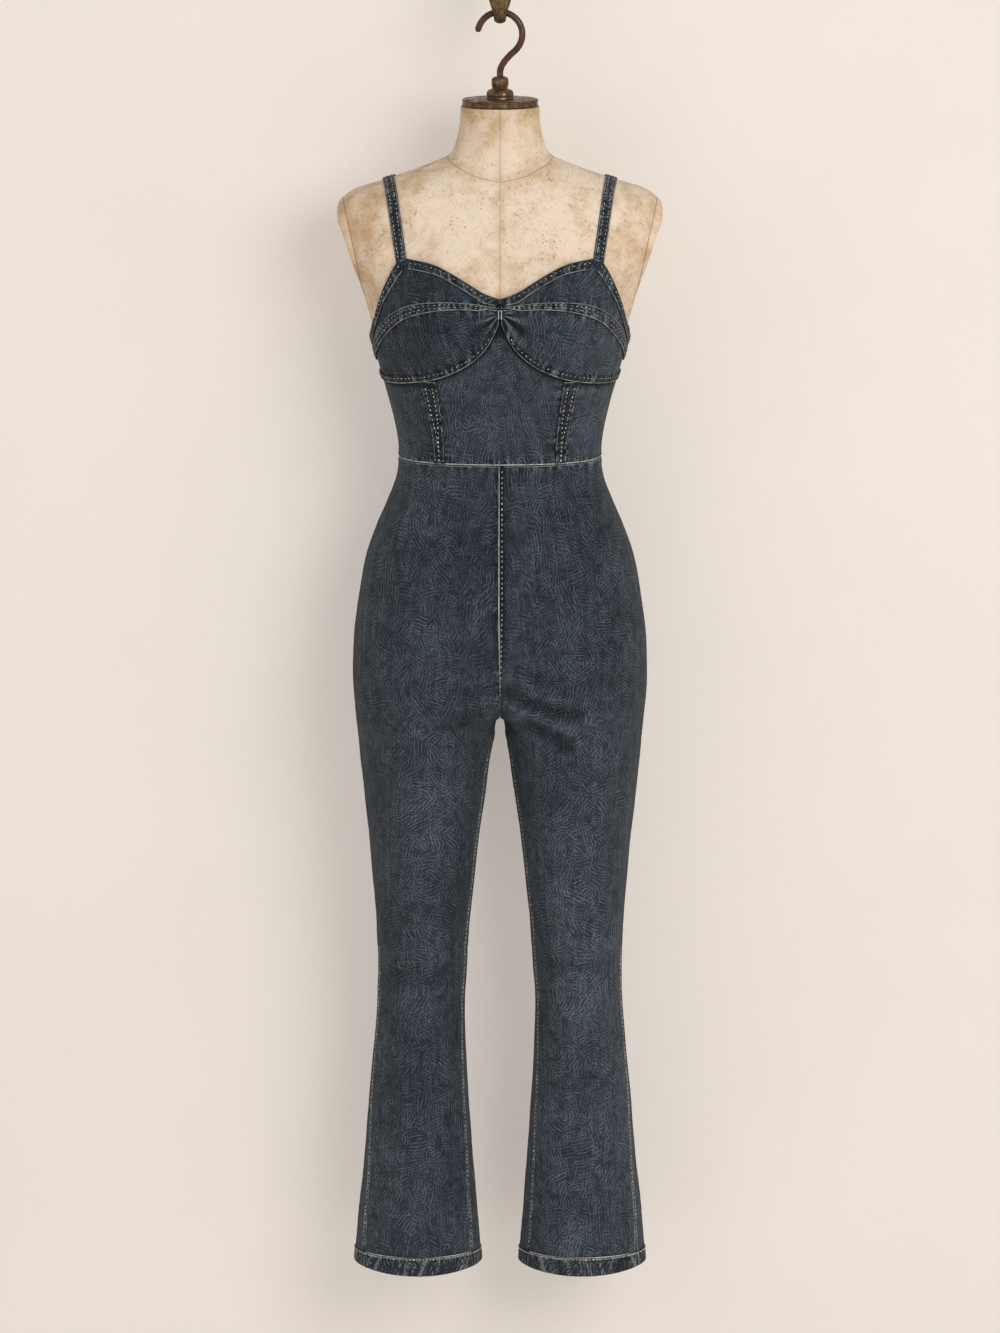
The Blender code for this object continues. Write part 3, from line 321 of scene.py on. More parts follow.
# The collar is a turned bronze knob on a flange. Below it is the neck cap, a bronze disc
# with a rolled edge, held by small screws round its rim.
CAP_RADIUS = 0.0462
CAP_TOP_Z = -0.1420
CAP_BOTTOM_Z = -0.1507
CAP_PROFILE = (
    (0.0, CAP_TOP_Z),
    (CAP_RADIUS - 0.0030, CAP_TOP_Z),
    (CAP_RADIUS - 0.0012, CAP_TOP_Z - 0.0003),
    (CAP_RADIUS - 0.0003, CAP_TOP_Z - 0.0010),
    (CAP_RADIUS, CAP_TOP_Z - 0.0020),
    (CAP_RADIUS - 0.0006, CAP_TOP_Z - 0.0028),
    (CAP_RADIUS - 0.0006, CAP_BOTTOM_Z + 0.0014),
    (CAP_RADIUS, CAP_BOTTOM_Z + 0.0007),
    (CAP_RADIUS - 0.0005, CAP_BOTTOM_Z),
    (0.0, CAP_BOTTOM_Z),
)
COLLAR_PROFILE = (
    (0.0, KNOB_TOP_Z),
    (0.0050, KNOB_TOP_Z),
    (0.0074, KNOB_TOP_Z - 0.0006),
    (0.0093, KNOB_TOP_Z - 0.0020),
    (0.0102, KNOB_TOP_Z - 0.0040),
    (0.0104, KNOB_TOP_Z - 0.0070),
    (0.0103, KNOB_TOP_Z - 0.0105),
    (0.0095, -0.1281),
    (0.0093, -0.1292),
    (0.0104, -0.1302),
    (0.0128, -0.1310),
    (0.0147, -0.1322),
    (0.0159, -0.1340),
    (0.0164, -0.1362),
    (0.0162, -0.1384),
    (0.0158, -0.1393),
    (0.0163, -0.1402),
    (0.0163, CAP_TOP_Z + 0.0003),
    (0.0, CAP_TOP_Z + 0.0003),
)
CAP_SCREWS = (-46.5, 50.5, 130.0, -130.0)
CAP_SCREW_RADIUS = 0.0019
SLIT_HALF = 0.00028

dark_bronze = new_material(
    "dark_bronze", METAL_AGEING,
    {"Metal": (0.21, 0.128, 0.064, 1), "Tarnish": (0.055, 0.033, 0.018, 1), "Amount": 0.9},
    0.0002, Metallic=0.85)


def turned_solid(profile, steps=72):
    """A solid turned about the figure's axis from (radius, height) points."""
    bm = bmesh.new()
    verts = [bm.verts.new((radius, FIGURE_Y, z)) for radius, z in profile]
    for upper, lower in zip(verts, verts[1:]):
        bm.edges.new((upper, lower))
    bmesh.ops.spin(bm, geom=bm.verts[:] + bm.edges[:], cent=(0, FIGURE_Y, 0), axis=(0, 0, 1),
                   angle=2 * math.pi, steps=steps, use_merge=True)
    bmesh.ops.remove_doubles(bm, verts=bm.verts[:], dist=SAME_PLACE)
    bmesh.ops.recalc_face_normals(bm, faces=bm.faces[:])
    return bm


bm = turned_solid(CAP_PROFILE)
for degrees in CAP_SCREWS:
    turn = Matrix.Rotation(math.radians(degrees), 4, "Z")
    head = (Matrix.Translation((0, FIGURE_Y, (CAP_TOP_Z + CAP_BOTTOM_Z) / 2)) @ turn
            @ Matrix.Translation((0, -CAP_RADIUS + 0.0003, 0)))
    for way in (1, -1):
        before = set(bm.verts)
        bmesh.ops.create_uvsphere(bm, u_segments=16, v_segments=8, radius=CAP_SCREW_RADIUS,
                                  matrix=head @ Matrix.Diagonal((1, 0.6, 1, 1)))
        fresh = [vert for vert in bm.verts if vert not in before]
        edges = {edge for vert in fresh for edge in vert.link_edges}
        faces = {face for vert in fresh for face in vert.link_faces}
        slit = head.to_3x3() @ Vector((0, 0, 1)) * way
        bmesh.ops.bisect_plane(bm, geom=fresh + list(edges) + list(faces),
                               plane_co=head.translation + slit * SLIT_HALF, plane_no=slit,
                               clear_inner=True)
add_piece("neck_cap", finish_bmesh(bm, "neck_cap"), dark_bronze, "bronze", "form_neck_cap")
add_piece("neck_collar", finish_bmesh(turned_solid(COLLAR_PROFILE), "neck_collar"), dark_bronze,
          "bronze", "form_collar")

# The dress form is layered papier-mache on a smooth figure, cream gone brown in places, with
# painted shade browning its -X shoulder end and its arm plates.
# Thin seam lines run round the neck, down the middle and over the shoulders.
FIGURE = (
    (-0.150, 0.0472, 0.047, 0.049),
    (-0.175, 0.0490, 0.049, 0.052),
    (-0.192, 0.0525, 0.052, 0.057),
    (-0.205, 0.0580, 0.055, 0.062),
    (-0.213, 0.0660, 0.057, 0.066),
    (-0.2235, 0.0915, 0.060, 0.071),
    (-0.2355, 0.1245, 0.064, 0.077),
    (-0.243, 0.1490, 0.067, 0.081),
    (-0.2495, 0.1705, 0.070, 0.084),
    (-0.2585, 0.1980, 0.073, 0.088),
    (-0.272, 0.2110, 0.077, 0.092),
    (-0.290, 0.2100, 0.082, 0.096),
    (-0.325, 0.1940, 0.090, 0.102),
    (-0.360, 0.1715, 0.097, 0.103),
    (-0.395, 0.1600, 0.103, 0.100),
    (-0.425, 0.1530, 0.106, 0.096),
    (-0.460, 0.1430, 0.103, 0.090),
    (-0.500, 0.1320, 0.095, 0.083),
    (-0.540, 0.1222, 0.088, 0.076),
    (-0.570, 0.1188, 0.084, 0.073),
    (-0.600, 0.1212, 0.085, 0.076),
    (-0.630, 0.1325, 0.088, 0.084),
    (-0.660, 0.1455, 0.091, 0.094),
    (-0.700, 0.1590, 0.095, 0.107),
    (-0.750, 0.1680, 0.098, 0.119),
    (-0.800, 0.1740, 0.099, 0.125),
    (-0.850, 0.1750, 0.098, 0.122),
    (-0.900, 0.1712, 0.096, 0.112),
)
FULLNESS = 0.045
BUST_X, BUST_Z = 0.072, -0.425
BUST_RISE = 0.022
BUST_ACROSS = 0.048
BUST_ABOVE, BUST_BELOW = 0.075, 0.050
FORM_BOTTOM_Z = -0.770
FORM_SLACK = 0.0010
NECK_SEAM = ((0, -0.2365), (16, -0.2299), (32, -0.2215), (60, -0.2140), (90, -0.2105),
             (120, -0.2090), (150, -0.2100), (180, -0.2110))
# Lines scored in the paper of the shoulders, as (x, height) ends seen from the front.
SHOULDER_LINES = (
    ((-0.1554, -0.2433), (-0.1551, -0.2677)),
    ((-0.1551, -0.2677), (-0.1670, -0.3059)),
    ((-0.1551, -0.2677), (-0.1314, -0.3053)),
    ((0.1530, -0.2433), (0.1527, -0.3064)),
)
ARM_CUT_X, ARM_CUT_Z = 0.1845, -0.279
ARM_CUT_SLOPE = 0.20
ARM_LOW_Z = -0.45
ARM_FACE_X = 0.1970
ARM_FACE_SLOPE = 0.32
ARM_FACE_BEND = 0.014
ARM_ROUND = 0.08
# A seam distance given to the arm plates all over, so that the seam darkening browns them as
# painted shade.
PLATE_SHADE_SEAM_AWAY = 0.005
DROOP_FROM, DROOP_TO, DROOP = 0.168, 0.198, 0.0135
DROOP_HEIGHTS = (-0.312, -0.262)
FORM_TOP_Z = -0.151


def ease(low, high, value):
    """0 at low rising smoothly to 1 at high."""
    t = np.clip((value - low) / (high - low), 0, 1)
    return t * t * (3 - 2 * t)


def fade(away, reach):
    """1 on a line, falling smoothly to 0 on both sides of it."""
    return np.exp(-(away / reach) ** 2)


def uneven(a, b, pace, seed):
    """A smooth irregular value from -1 to 1 over a surface; pace is waves to the metre."""
    total = 0.0
    for k, share in enumerate((0.34, 0.26, 0.22, 0.18)):
        turn = 1.3 * seed + 2.4 * k
        wave = pace * (1 + 0.37 * k) * 2 * np.pi
        along = a * np.cos(turn) + b * np.sin(turn)
        total = total + share * np.sin(wave * along + seed * (k + 1.7))
    return total


def figure(degrees, z):
    """The figure's skin, degrees round from the centre front towards +X."""
    turn = np.radians(degrees)
    across, along = np.sin(turn), np.cos(turn)
    full = 1 + FULLNESS * np.sin(2 * turn) ** 2
    x = read_curve(FIGURE, z, 1) * across * full
    reach = np.where(degrees < 90, read_curve(FIGURE, z, 2), read_curve(FIGURE, z, 3))
    above = z - BUST_Z
    spread = np.where(above > 0, BUST_ABOVE, BUST_BELOW)
    mounds = fade(x + BUST_X, BUST_ACROSS) + fade(x - BUST_X, BUST_ACROSS)
    rise = BUST_RISE * mounds * fade(above, spread) * (along > 0)
    y = FIGURE_Y - reach * along * full - rise * np.sqrt(np.clip(along, 0, 1))
    return np.stack([x + 0.25 * rise * across, y, z], -1)


def on_figure(degrees, z, out):
    """The figure's skin moved out along its own normal, on the +X half."""
    degrees, z = np.broadcast_arrays(np.asarray(degrees, float), np.asarray(z, float))
    step = 0.002 * degrees + 0.0005
    along_u = figure(degrees + step, z) - figure(degrees - step, z)
    along_z = figure(degrees, z + 0.0005) - figure(degrees, z - 0.0005)
    normal = unit(np.cross(along_u, along_z))
    return figure(degrees, z) + normal * np.asarray(out, float)[..., None]


def on_side(places, way):
    """Places of the left half as they are (way 1), or mirrored to the right (way -1)."""
    return places * (way, 1, 1)


def both_halves(degrees, z, out):
    places = on_figure(np.abs(degrees), z, out)
    places[..., 0] *= np.where(degrees < 0, -1, 1)
    return places


def to_line(x, z, line):
    """Distance from each (x, z) to a line of points."""
    nearest = np.full(x.shape, 1.0)
    for (x0, z0), (x1, z1) in zip(line, line[1:]):
        dx, dz = x1 - x0, z1 - z0
        t = np.clip(((x - x0) * dx + (z - z0) * dz) / (dx * dx + dz * dz), 0, 1)
        nearest = np.minimum(nearest, np.hypot(x - x0 - t * dx, z - z0 - t * dz))
    return nearest


def set_attribute(mesh, name, values):
    kind = "FLOAT_VECTOR" if values.ndim == 2 else "FLOAT"
    attribute = mesh.attributes.new(name, kind, "POINT")
    attribute.data.foreach_set("vector" if values.ndim == 2 else "value",
                               values.astype(np.float32).ravel())


def read_attribute(tree, name):
    """The three values of a piece's own attribute."""
    vector = add_node(tree, "ShaderNodeAttribute", attribute_name=name).outputs["Vector"]
    return add_node(tree, "ShaderNodeSeparateXYZ", {0: vector}).outputs


tree, given, result = new_group(
    "old_paper", (("Paper", COLOUR), ("Stain and shade", COLOUR), ("Grime", COLOUR)),
    (("Colour", COLOUR), ("Roughness", NUMBER), ("Height", NUMBER)))
place = add_node(tree, "ShaderNodeTexCoord").outputs["Object"]
clouds = noise(tree, place, 9, 5, 0.6)
blots = noise(tree, place, 38, 6, 0.68)
grain = noise(tree, place, 420, 4, 0.6)
stain_and_shade = remap(tree, work_out(tree, "ADD", times(tree, clouds, 0.6), times(tree, blots, 0.6)),
                0.52, 0.80)
pits = add_node(tree, "ShaderNodeTexVoronoi", {"Vector": place, "Scale": 150.0}).outputs["Distance"]
pit_mask = remap(tree, noise(tree, place, 34, 3), 0.50, 0.64)
pits = times(tree, remap(tree, pits, 0.24, 0.12), pit_mask)
scratches = 0.0
for turn in ((0.0, 0.6, 0.4), (0.0, 2.0, 1.1), (0.3, 2.8, 0.2), (0.0, 1.2, 2.0)):
    thin = noise(tree, stretched_place(tree, place, (48.0, 48.0, 640.0), turn), 1.0, 1.0, 0.5)
    thin = remap(tree, thin, 0.66, 0.72)
    scratches = thin if scratches == 0.0 else work_out(tree, "MAXIMUM", scratches, thin)
marks = 0.0
for turn in ((0.2, 0.9, 0.0), (0.0, 2.4, 0.3)):
    fleck = noise(tree, stretched_place(tree, place, (95.0, 95.0, 330.0), turn), 1.0, 2, 0.6)
    marks = work_out(tree, "MAXIMUM", remap(tree, fleck, 0.66, 0.70), marks)
marks = times(tree, marks, remap(tree, blots, 0.40, 0.58))
axes = add_node(tree, "ShaderNodeSeparateXYZ", {0: place}).outputs
# Browner towards the top of the neck, a stain, and towards the -X shoulder end, painted shade on
# the side away from the key light.
neck_stain_and_side_shade = work_out(tree, "MAXIMUM", remap(tree, axes[2], -0.215, -0.150, 0.0, 0.34),
                     remap(tree, axes[0], -0.12, -0.19, 0.0, 0.30))
stain_and_shade = work_out(tree, "ADD", stain_and_shade, neck_stain_and_side_shade, clamp=True)
lines = read_attribute(tree, "form_seams")
seam = work_out(tree, "MINIMUM", work_out(tree, "ABSOLUTE", lines[0]),
                work_out(tree, "MINIMUM", work_out(tree, "ABSOLUTE", lines[1]),
                         work_out(tree, "ABSOLUTE", lines[2])))
seam_line = remap(tree, seam, 0.0009, 0.0003)
# Browner near the seam lines with dirt; on the arm plates, which are given a seam distance
# throughout, this is painted shade.
seam_dirt_and_plate_shade = times(tree, remap(tree, seam, 0.012, 0.001),
                  remap(tree, blots, 0.35, 0.75, 0.15, 0.75))
colour = mix_colours(tree, stain_and_shade, given["Paper"], given["Stain and shade"])
colour = mix_colours(tree, times(tree, grain, 0.16), colour, given["Stain and shade"])
colour = mix_colours(tree, seam_dirt_and_plate_shade, colour, given["Stain and shade"])
dirt = 0.0
for value, weight in ((pits, 0.55), (scratches, 0.22), (marks, 0.55), (seam_line, 0.42)):
    dirt = work_out(tree, "MAXIMUM", times(tree, value, weight), dirt)
tree.links.new(mix_colours(tree, dirt, colour, given["Grime"]), result["Colour"])
tree.links.new(remap(tree, stain_and_shade, 0.0, 1.0, 0.62, 0.80), result["Roughness"])
tree.links.new(work_out(tree, "SUBTRACT", times(tree, grain, 0.35), dirt), result["Height"])
old_paper = new_material(
    "old_papier_mache", tree,
    {"Paper": (0.755, 0.632, 0.502, 1), "Stain and shade": (0.50, 0.335, 0.19, 1),
     "Grime": (0.22, 0.115, 0.050, 1)}, 0.0005, Specular_IOR_Level=0.3)


def droop(co):
    """Round the shoulder ends over: points lowered more the further out they are."""
    out = np.clip((np.abs(co[..., 0]) - DROOP_FROM) / (DROOP_TO - DROOP_FROM), 0, 1)
    co[..., 2] -= DROOP * out ** 2.2 * ease(*DROOP_HEIGHTS, co[..., 2])
    return co


turns = np.linspace(-180, 180, 161)
heights = np.concatenate([np.linspace(FORM_TOP_Z, -0.300, 76),
                          np.linspace(-0.303, FORM_BOTTOM_Z, 110)])
turns, heights = np.meshgrid(turns, heights)
slack = FORM_SLACK * (1 - ease(-0.430, -0.380, heights))
slack = slack - 0.0003 * uneven(turns / 400, heights, 14, 3.1)
mesh = closed_tube("form_body", both_halves(turns, heights, -slack))
bm = bmesh.new()
bm.from_mesh(mesh)
arm_outlines = {}
for way in (1, -1):
    upper = [item for items in (bm.verts, bm.edges, bm.faces) for item in items
             if min(vert.co.z for vert in getattr(item, "verts", (item,))) > ARM_LOW_Z]
    cut = bmesh.ops.bisect_plane(
        bm, geom=upper, plane_co=(way * ARM_CUT_X, 0, ARM_CUT_Z),
        plane_no=Vector((way, 0, -ARM_CUT_SLOPE)).normalized(), clear_outer=True)
    rim = [item for item in cut["geom_cut"] if isinstance(item, bmesh.types.BMEdge)]
    face = bmesh.ops.holes_fill(bm, edges=rim)["faces"][0]
    arm_outlines[way] = [vert.co.copy() for vert in face.verts]
bm.to_mesh(mesh)
bm.free()
co = read_places(mesh)
arm_away = ARM_CUT_X + ARM_CUT_SLOPE * (co[:, 2] - ARM_CUT_Z) - np.abs(co[:, 0])
co = droop(co)
write_places(mesh, co)
round_turn = np.degrees(np.arctan2(np.abs(co[:, 0]) / read_curve(FIGURE, co[:, 2], 1),
                                   -(co[:, 1] - FIGURE_Y) / read_curve(FIGURE, co[:, 2], 2)))
neck_line = co[:, 2] - read_curve(NECK_SEAM, round_turn)
scored = np.where(neck_line < 0, np.abs(co[:, 1] - FIGURE_Y - 0.006), 1.0)
scored = np.minimum(scored, np.abs(arm_away) + (co[:, 2] < ARM_LOW_Z))
for ends in SHOULDER_LINES:
    scored = np.minimum(scored, to_line(co[:, 0], co[:, 2], ends) + (co[:, 1] > FIGURE_Y))
set_attribute(mesh, "form_seams", np.stack([co[:, 0], neck_line, scored], 1))
add_piece("form_body", mesh, old_paper, "papier_mache", "form_torso")

for side, way in (("left", 1), ("right", -1)):
    outline = np.array([tuple(place) for place in arm_outlines[way]])
    seat = outline + (way * 0.0003, 0, 0)
    middle = outline.mean(0)
    rings = []
    for turn in np.linspace(0, math.pi / 2, 7):
        spread = 1 - ARM_ROUND * (1 - math.cos(turn))
        ring = middle + (outline - middle) * spread
        down = ARM_CUT_Z - ring[:, 2]
        reach = ARM_FACE_X - ARM_FACE_SLOPE * (down + np.hypot(down, ARM_FACE_BEND)) / 2
        ring[:, 0] = seat[:, 0] + (way * reach - seat[:, 0]) * math.sin(turn)
        rings.append(ring)
    rings.append(rings[-1] + (middle - rings[-1]) * (0, 0.05, 0.05))
    rings = droop(np.array(rings))
    mesh = closed_tube(f"form_arm_{side}", np.concatenate([rings, rings[:, :1]], 1))
    # Painted shade: one seam distance all over browns the whole plate.
    set_attribute(mesh, "form_seams", np.full((len(mesh.vertices), 3), PLATE_SHADE_SEAM_AWAY))
    add_piece(f"form_arm_{side}", mesh, old_paper, "papier_mache", f"form_arm_plate_{side}",
              sharp=80)

# The trousers are four panels of washed stretch denim, sewn at the front, the back, the
# inner legs and the sides, smooth on the hip and flared from the knee.
CLOTH = 0.0016
EASE = 0.0022
OUTSIDE = EASE + CLOTH
HALF_GAP = 0.00015
INSIDE_LEG_X, INSIDE_LEG_Z = 0.09, -1.07
WAIST_Z = -0.577
CROTCH_Z = -0.896
RISE_START_Z = {"front": -0.822, "back": -0.800}
THIGH_START_Z = -0.735
THIGH_FROM = 0.45
HEM_TOP_Z = -1.560
ZIP_END_Z = -0.700
ZIP_SLOT = 0.0033
LEG = (
    (-0.780, 0.0000, 0.1765, 0.1030, 0.1270),
    (-0.840, 0.0000, 0.1788, 0.1015, 0.1260),
    (-0.896, 0.0000, 0.1752, 0.0990, 0.1130),
    (-0.899, 0.0042, 0.1750, 0.0988, 0.1120),
    (-0.927, 0.0085, 0.1720, 0.0970, 0.1040),
    (-0.952, 0.0130, 0.1700, 0.0950, 0.0980),
    (-1.002, 0.0195, 0.1645, 0.0900, 0.0880),
    (-1.052, 0.0265, 0.1590, 0.0840, 0.0790),
    (-1.102, 0.0320, 0.1550, 0.0780, 0.0715),
    (-1.152, 0.0375, 0.1510, 0.0720, 0.0655),
    (-1.202, 0.0410, 0.1490, 0.0675, 0.0620),
    (-1.252, 0.0435, 0.1500, 0.0640, 0.0605),
    (-1.302, 0.0425, 0.1540, 0.0620, 0.0615),
    (-1.352, 0.0400, 0.1590, 0.0620, 0.0640),
    (-1.402, 0.0370, 0.1630, 0.0630, 0.0670),
    (-1.453, 0.0330, 0.1670, 0.0640, 0.0700),
    (-1.504, 0.0290, 0.1730, 0.0665, 0.0720),
    (-1.554, 0.0250, 0.1775, 0.0695, 0.0740),
    (-1.576, 0.0235, 0.1790, 0.0705, 0.0745),
)
# Creases in the trousers: panel, line of (x, height) points, width, depth.
CREASES = (
    ("front", ((0.012, -0.852), (0.039, -0.869), (0.060, -0.875), (0.092, -0.880)), 0.0100, 0.0024),
    ("front", ((0.036, -0.893), (0.060, -0.906), (0.080, -0.917)), 0.0090, 0.0021),
    ("front", ((0.022, -0.834), (0.050, -0.842), (0.075, -0.844)), 0.0110, 0.0007),
    ("front", ((-0.052, -0.853), (-0.018, -0.855)), 0.0100, 0.0009),
    ("front", ((-0.016, -0.880), (-0.040, -0.889), (-0.066, -0.890)), 0.0110, 0.0007),
    ("front", ((0.060, -1.196), (0.098, -1.188), (0.128, -1.198)), 0.0140, 0.0007),
    ("front", ((-0.066, -1.214), (-0.096, -1.206), (-0.130, -1.216)), 0.0140, 0.0008),
    ("back", ((0.012, -0.902), (0.046, -0.921), (0.084, -0.925), (0.118, -0.915)), 0.0100, 0.0022),
    ("back", ((0.034, -0.942), (0.070, -0.953), (0.100, -0.951)), 0.0095, 0.0014),
    ("back", ((-0.012, -0.905), (-0.050, -0.919), (-0.090, -0.920)), 0.0100, 0.0020),
    ("back", ((-0.040, -0.948), (-0.076, -0.955), (-0.104, -0.947)), 0.0095, 0.0012),
    ("back", ((0.055, -1.168), (0.090, -1.178), (0.128, -1.170)), 0.0100, 0.0014),
    ("back", ((0.062, -1.206), (0.096, -1.213), (0.126, -1.202)), 0.0090, 0.0011),
    ("back", ((-0.060, -1.176), (-0.094, -1.184), (-0.132, -1.172)), 0.0100, 0.0014),
    ("back", ((-0.070, -1.222), (-0.098, -1.226), (-0.124, -1.218)), 0.0090, 0.0010),
)


def seat_depth(x, half, reach):
    """Reach of the seat's level section at each x."""
    low, high = np.zeros_like(x), np.full_like(x, np.pi / 2)
    for _ in range(26):
        turn = (low + high) / 2
        short = half * np.sin(turn) * (1 + FULLNESS * np.sin(2 * turn) ** 2) < x
        low, high = np.where(short, turn, low), np.where(short, high, turn)
    return reach * np.cos(turn) * (1 + FULLNESS * np.sin(2 * turn) ** 2)


def trousers(share, z, face):
    """Outside of one trouser panel, from the centre or inner seam (0) to the side seam (1)."""
    inner = np.maximum(read_curve(LEG, z, 1), 0)
    outer = read_curve(LEG, z, 2)
    reach = read_curve(LEG, z, 4 if face == "back" else 3)
    turn = np.pi * (1 - share)
    leg_x = (inner + outer) / 2 + (outer - inner) / 2 * np.cos(turn)
    leg_depth = reach * np.sin(turn)
    half = read_curve(FIGURE, z, 1) + OUTSIDE
    seat = read_curve(FIGURE, z, 3 if face == "back" else 2) + OUTSIDE
    start = RISE_START_Z[face]
    down = np.clip((start - z) / (start - CROTCH_Z), 0, 1)
    at_centre = 1 - np.sqrt(1 - down * down)
    at_thigh = 1 - ease(CROTCH_Z, THIGH_START_Z, z)
    seat_x = np.sin(np.pi / 2 * share) * (1 + FULLNESS * np.sin(np.pi * share) ** 2)
    x = half * (seat_x + ((1 - np.cos(np.pi * share)) / 2 - seat_x) * at_thigh)
    across = np.clip(x / half, 0, 1)
    as_leg = at_centre + (at_thigh - at_centre) * ease(0.0, THIGH_FROM, across)
    own = seat_depth(np.abs(x), half, seat)
    depth = own + (reach * 2 * np.sqrt(across * (1 - across)) - own) * as_leg
    below = z <= CROTCH_Z
    x, depth = np.where(below, leg_x, x), np.where(below, leg_depth, depth)
    return np.stack([x, FIGURE_Y + (depth if face == "back" else -depth), z], -1)


def on_trousers(share, z, face, out):
    share, z = np.broadcast_arrays(np.asarray(share, float), np.asarray(z, float))
    along_u = trousers(share + 0.0004, z, face) - trousers(share - 0.0004, z, face)
    along_z = trousers(share, z + 0.0008, face) - trousers(share, z - 0.0008, face)
    normal = unit(np.cross(along_u, along_z))
    out = np.asarray(out, float)[..., None]
    places = trousers(share, z, face) + normal * (-out if face == "back" else out)
    places[..., 0] = np.maximum(places[..., 0], HALF_GAP)
    return places


def crease(x, z, line, width, depth):
    """A soft trough along a line with a low ridge beside it: how far out, and its tint, darker in
    the trough with painted shade and paler on the ridge with wash wear and painted light.
    """
    nearest = to_line(x, z, line)
    trough = fade(nearest, width)
    ridge = fade(nearest / width - 1.7, 0.7)
    return depth * (0.45 * ridge - trough), 0.55 * ridge - 1.1 * trough


def pucker(along, away, pace, reach, seed):
    """Small uneven puckers along a seam, from -1 to 1, dying out away from it."""
    bent = along + 0.003 * np.sin(2 * np.pi * pace * 0.31 * along + seed)
    size = 0.55 + 0.45 * np.sin(2 * np.pi * pace * 0.17 * along + 2.3 * seed)
    return size * np.sin(2 * np.pi * pace * bent + seed) * np.exp(-away / reach)


def seam_dip(away):
    """How far cloth sinks at a seam, and the low ridge where the turnings lie under it."""
    return -0.0009 * fade(away, 0.0011) + 0.0004 * fade(away - 0.004, 0.003)


def side_shadow(away, reach):
    """How much darker cloth is towards a side seam."""
    return 0.9 * fade(away, reach)


WORN_LINE = (0.60, 0.62, 0.61, 1)
SEAM_GROOVE = (0.004, 0.005, 0.007, 1)
tree, given, result = new_group(
    "washed_weave",
    (("Cloth", COLOUR), ("Worn and lit", COLOUR), ("Shadow", COLOUR), ("Edge", COLOUR),
     ("Edge wear", NUMBER), ("Edge width", NUMBER), ("Broken", NUMBER), ("Mottle", NUMBER)),
    (("Colour", COLOUR), ("Roughness", NUMBER), ("Height", NUMBER)))
place = add_node(tree, "ShaderNodeTexCoord").outputs["Object"]
cloth_uv = add_node(tree, "ShaderNodeUVMap", uv_map="cloth").outputs[0]
broad = noise(tree, place, 11, 3, 0.55)
patchy = noise(tree, place, 48, 5, 0.62)
small = noise(tree, place, 190, 4, 0.6)
speckle = noise(tree, place, 620, 2, 0.6)
streaks = noise(tree, stretched_place(tree, cloth_uv, (620.0, 26.0, 1.0)), 1.0, 3, 0.6)
slubs = noise(tree, stretched_place(tree, cloth_uv, (170.0, 9.0, 1.0)), 1.0, 2, 0.5)
# The whorls are short curved strokes that turn another way in each cell.
whorls = 0.0
for cells, gap, bend in ((85, 0.0034, 95), (47, 0.0042, 60)):
    cell = add_node(tree, "ShaderNodeTexVoronoi", {"Vector": cloth_uv, "Scale": float(cells)},
                    voronoi_dimensions="2D").outputs["Color"]
    random = add_node(tree, "ShaderNodeSeparateColor", {0: cell}).outputs
    turn = work_out(tree, "MULTIPLY_ADD", random[0], 2.9, -1.45)
    flat = add_node(tree, "ShaderNodeSeparateXYZ", {0: cloth_uv}).outputs
    phase = times(tree, flat[0], work_out(tree, "COSINE", turn))
    phase = work_out(tree, "ADD", phase, times(tree, flat[1], work_out(tree, "SINE", turn)))
    bent = times(tree, noise(tree, place, bend, 1.0), 11.0)
    phase = work_out(tree, "MULTIPLY_ADD", phase, 2 * math.pi / gap, bent)
    strokes = work_out(tree, "MULTIPLY_ADD", work_out(tree, "SINE", phase), 0.5, 0.5)
    strokes = work_out(tree, "POWER", strokes, 3.0)
    strokes = times(tree, strokes, remap(tree, random[1], 0.0, 0.8, 0.72, 1.0))
    strokes = times(tree, strokes, remap(tree, noise(tree, place, 6500 / cells, 2), 0.30, 0.55))
    whorls = strokes if whorls == 0.0 else work_out(tree, "MAXIMUM", whorls, strokes)
slant = add_node(tree, "ShaderNodeVectorMath", {0: cloth_uv, 1: (5200.0, 5200.0, 0.0)},
                 operation="DOT_PRODUCT").outputs["Value"]
twill = work_out(tree, "SINE", slant)
near = read_attribute(tree, "seam_near")
away = work_out(tree, "MINIMUM", near[0], work_out(tree, "MINIMUM", near[1], near[2]))
shade = add_node(tree, "ShaderNodeAttribute", attribute_name="shade").outputs["Fac"]
beside_seam = remap(tree, away, 0.012, 0.002)
tone = work_out(tree, "MULTIPLY_ADD", work_out(tree, "SUBTRACT", broad, 0.5), 0.34, 0.41)
for value, middle, weight in ((patchy, 0.5, 0.18), (small, 0.5, 0.22), (streaks, 0.5, 0.66),
                              (slubs, 0.5, 0.30), (whorls, 0.33, 0.58), (speckle, 0.5, 0.58),
                              (twill, 0.0, 0.03)):
    change = times(tree, work_out(tree, "SUBTRACT", value, middle), weight)
    tone = work_out(tree, "MULTIPLY_ADD", change, given["Mottle"], tone)
# The shade attribute carries painted light and shade as well as uneven dye; its light end reaches
# the worn colour.
tone = work_out(tree, "MULTIPLY_ADD", shade, 0.42, tone)
# Beside the seams the tone is blotched lighter and darker: painted light and shade of small
# puckers, with wash marks.
blotch = work_out(tree, "SUBTRACT", noise(tree, place, 150, 2), 0.5)
tone = work_out(tree, "MULTIPLY_ADD", times(tree, blotch, beside_seam), 1.9, tone)
tone = work_out(tree, "ADD", tone, 0.0, clamp=True)
colour = mix_colours(tree, times(tree, tone, 2.0, clamp=True), given["Shadow"], given["Cloth"])
colour = mix_colours(tree, work_out(tree, "MULTIPLY_ADD", tone, 2.0, -1.0, clamp=True), colour,
                     given["Worn and lit"])
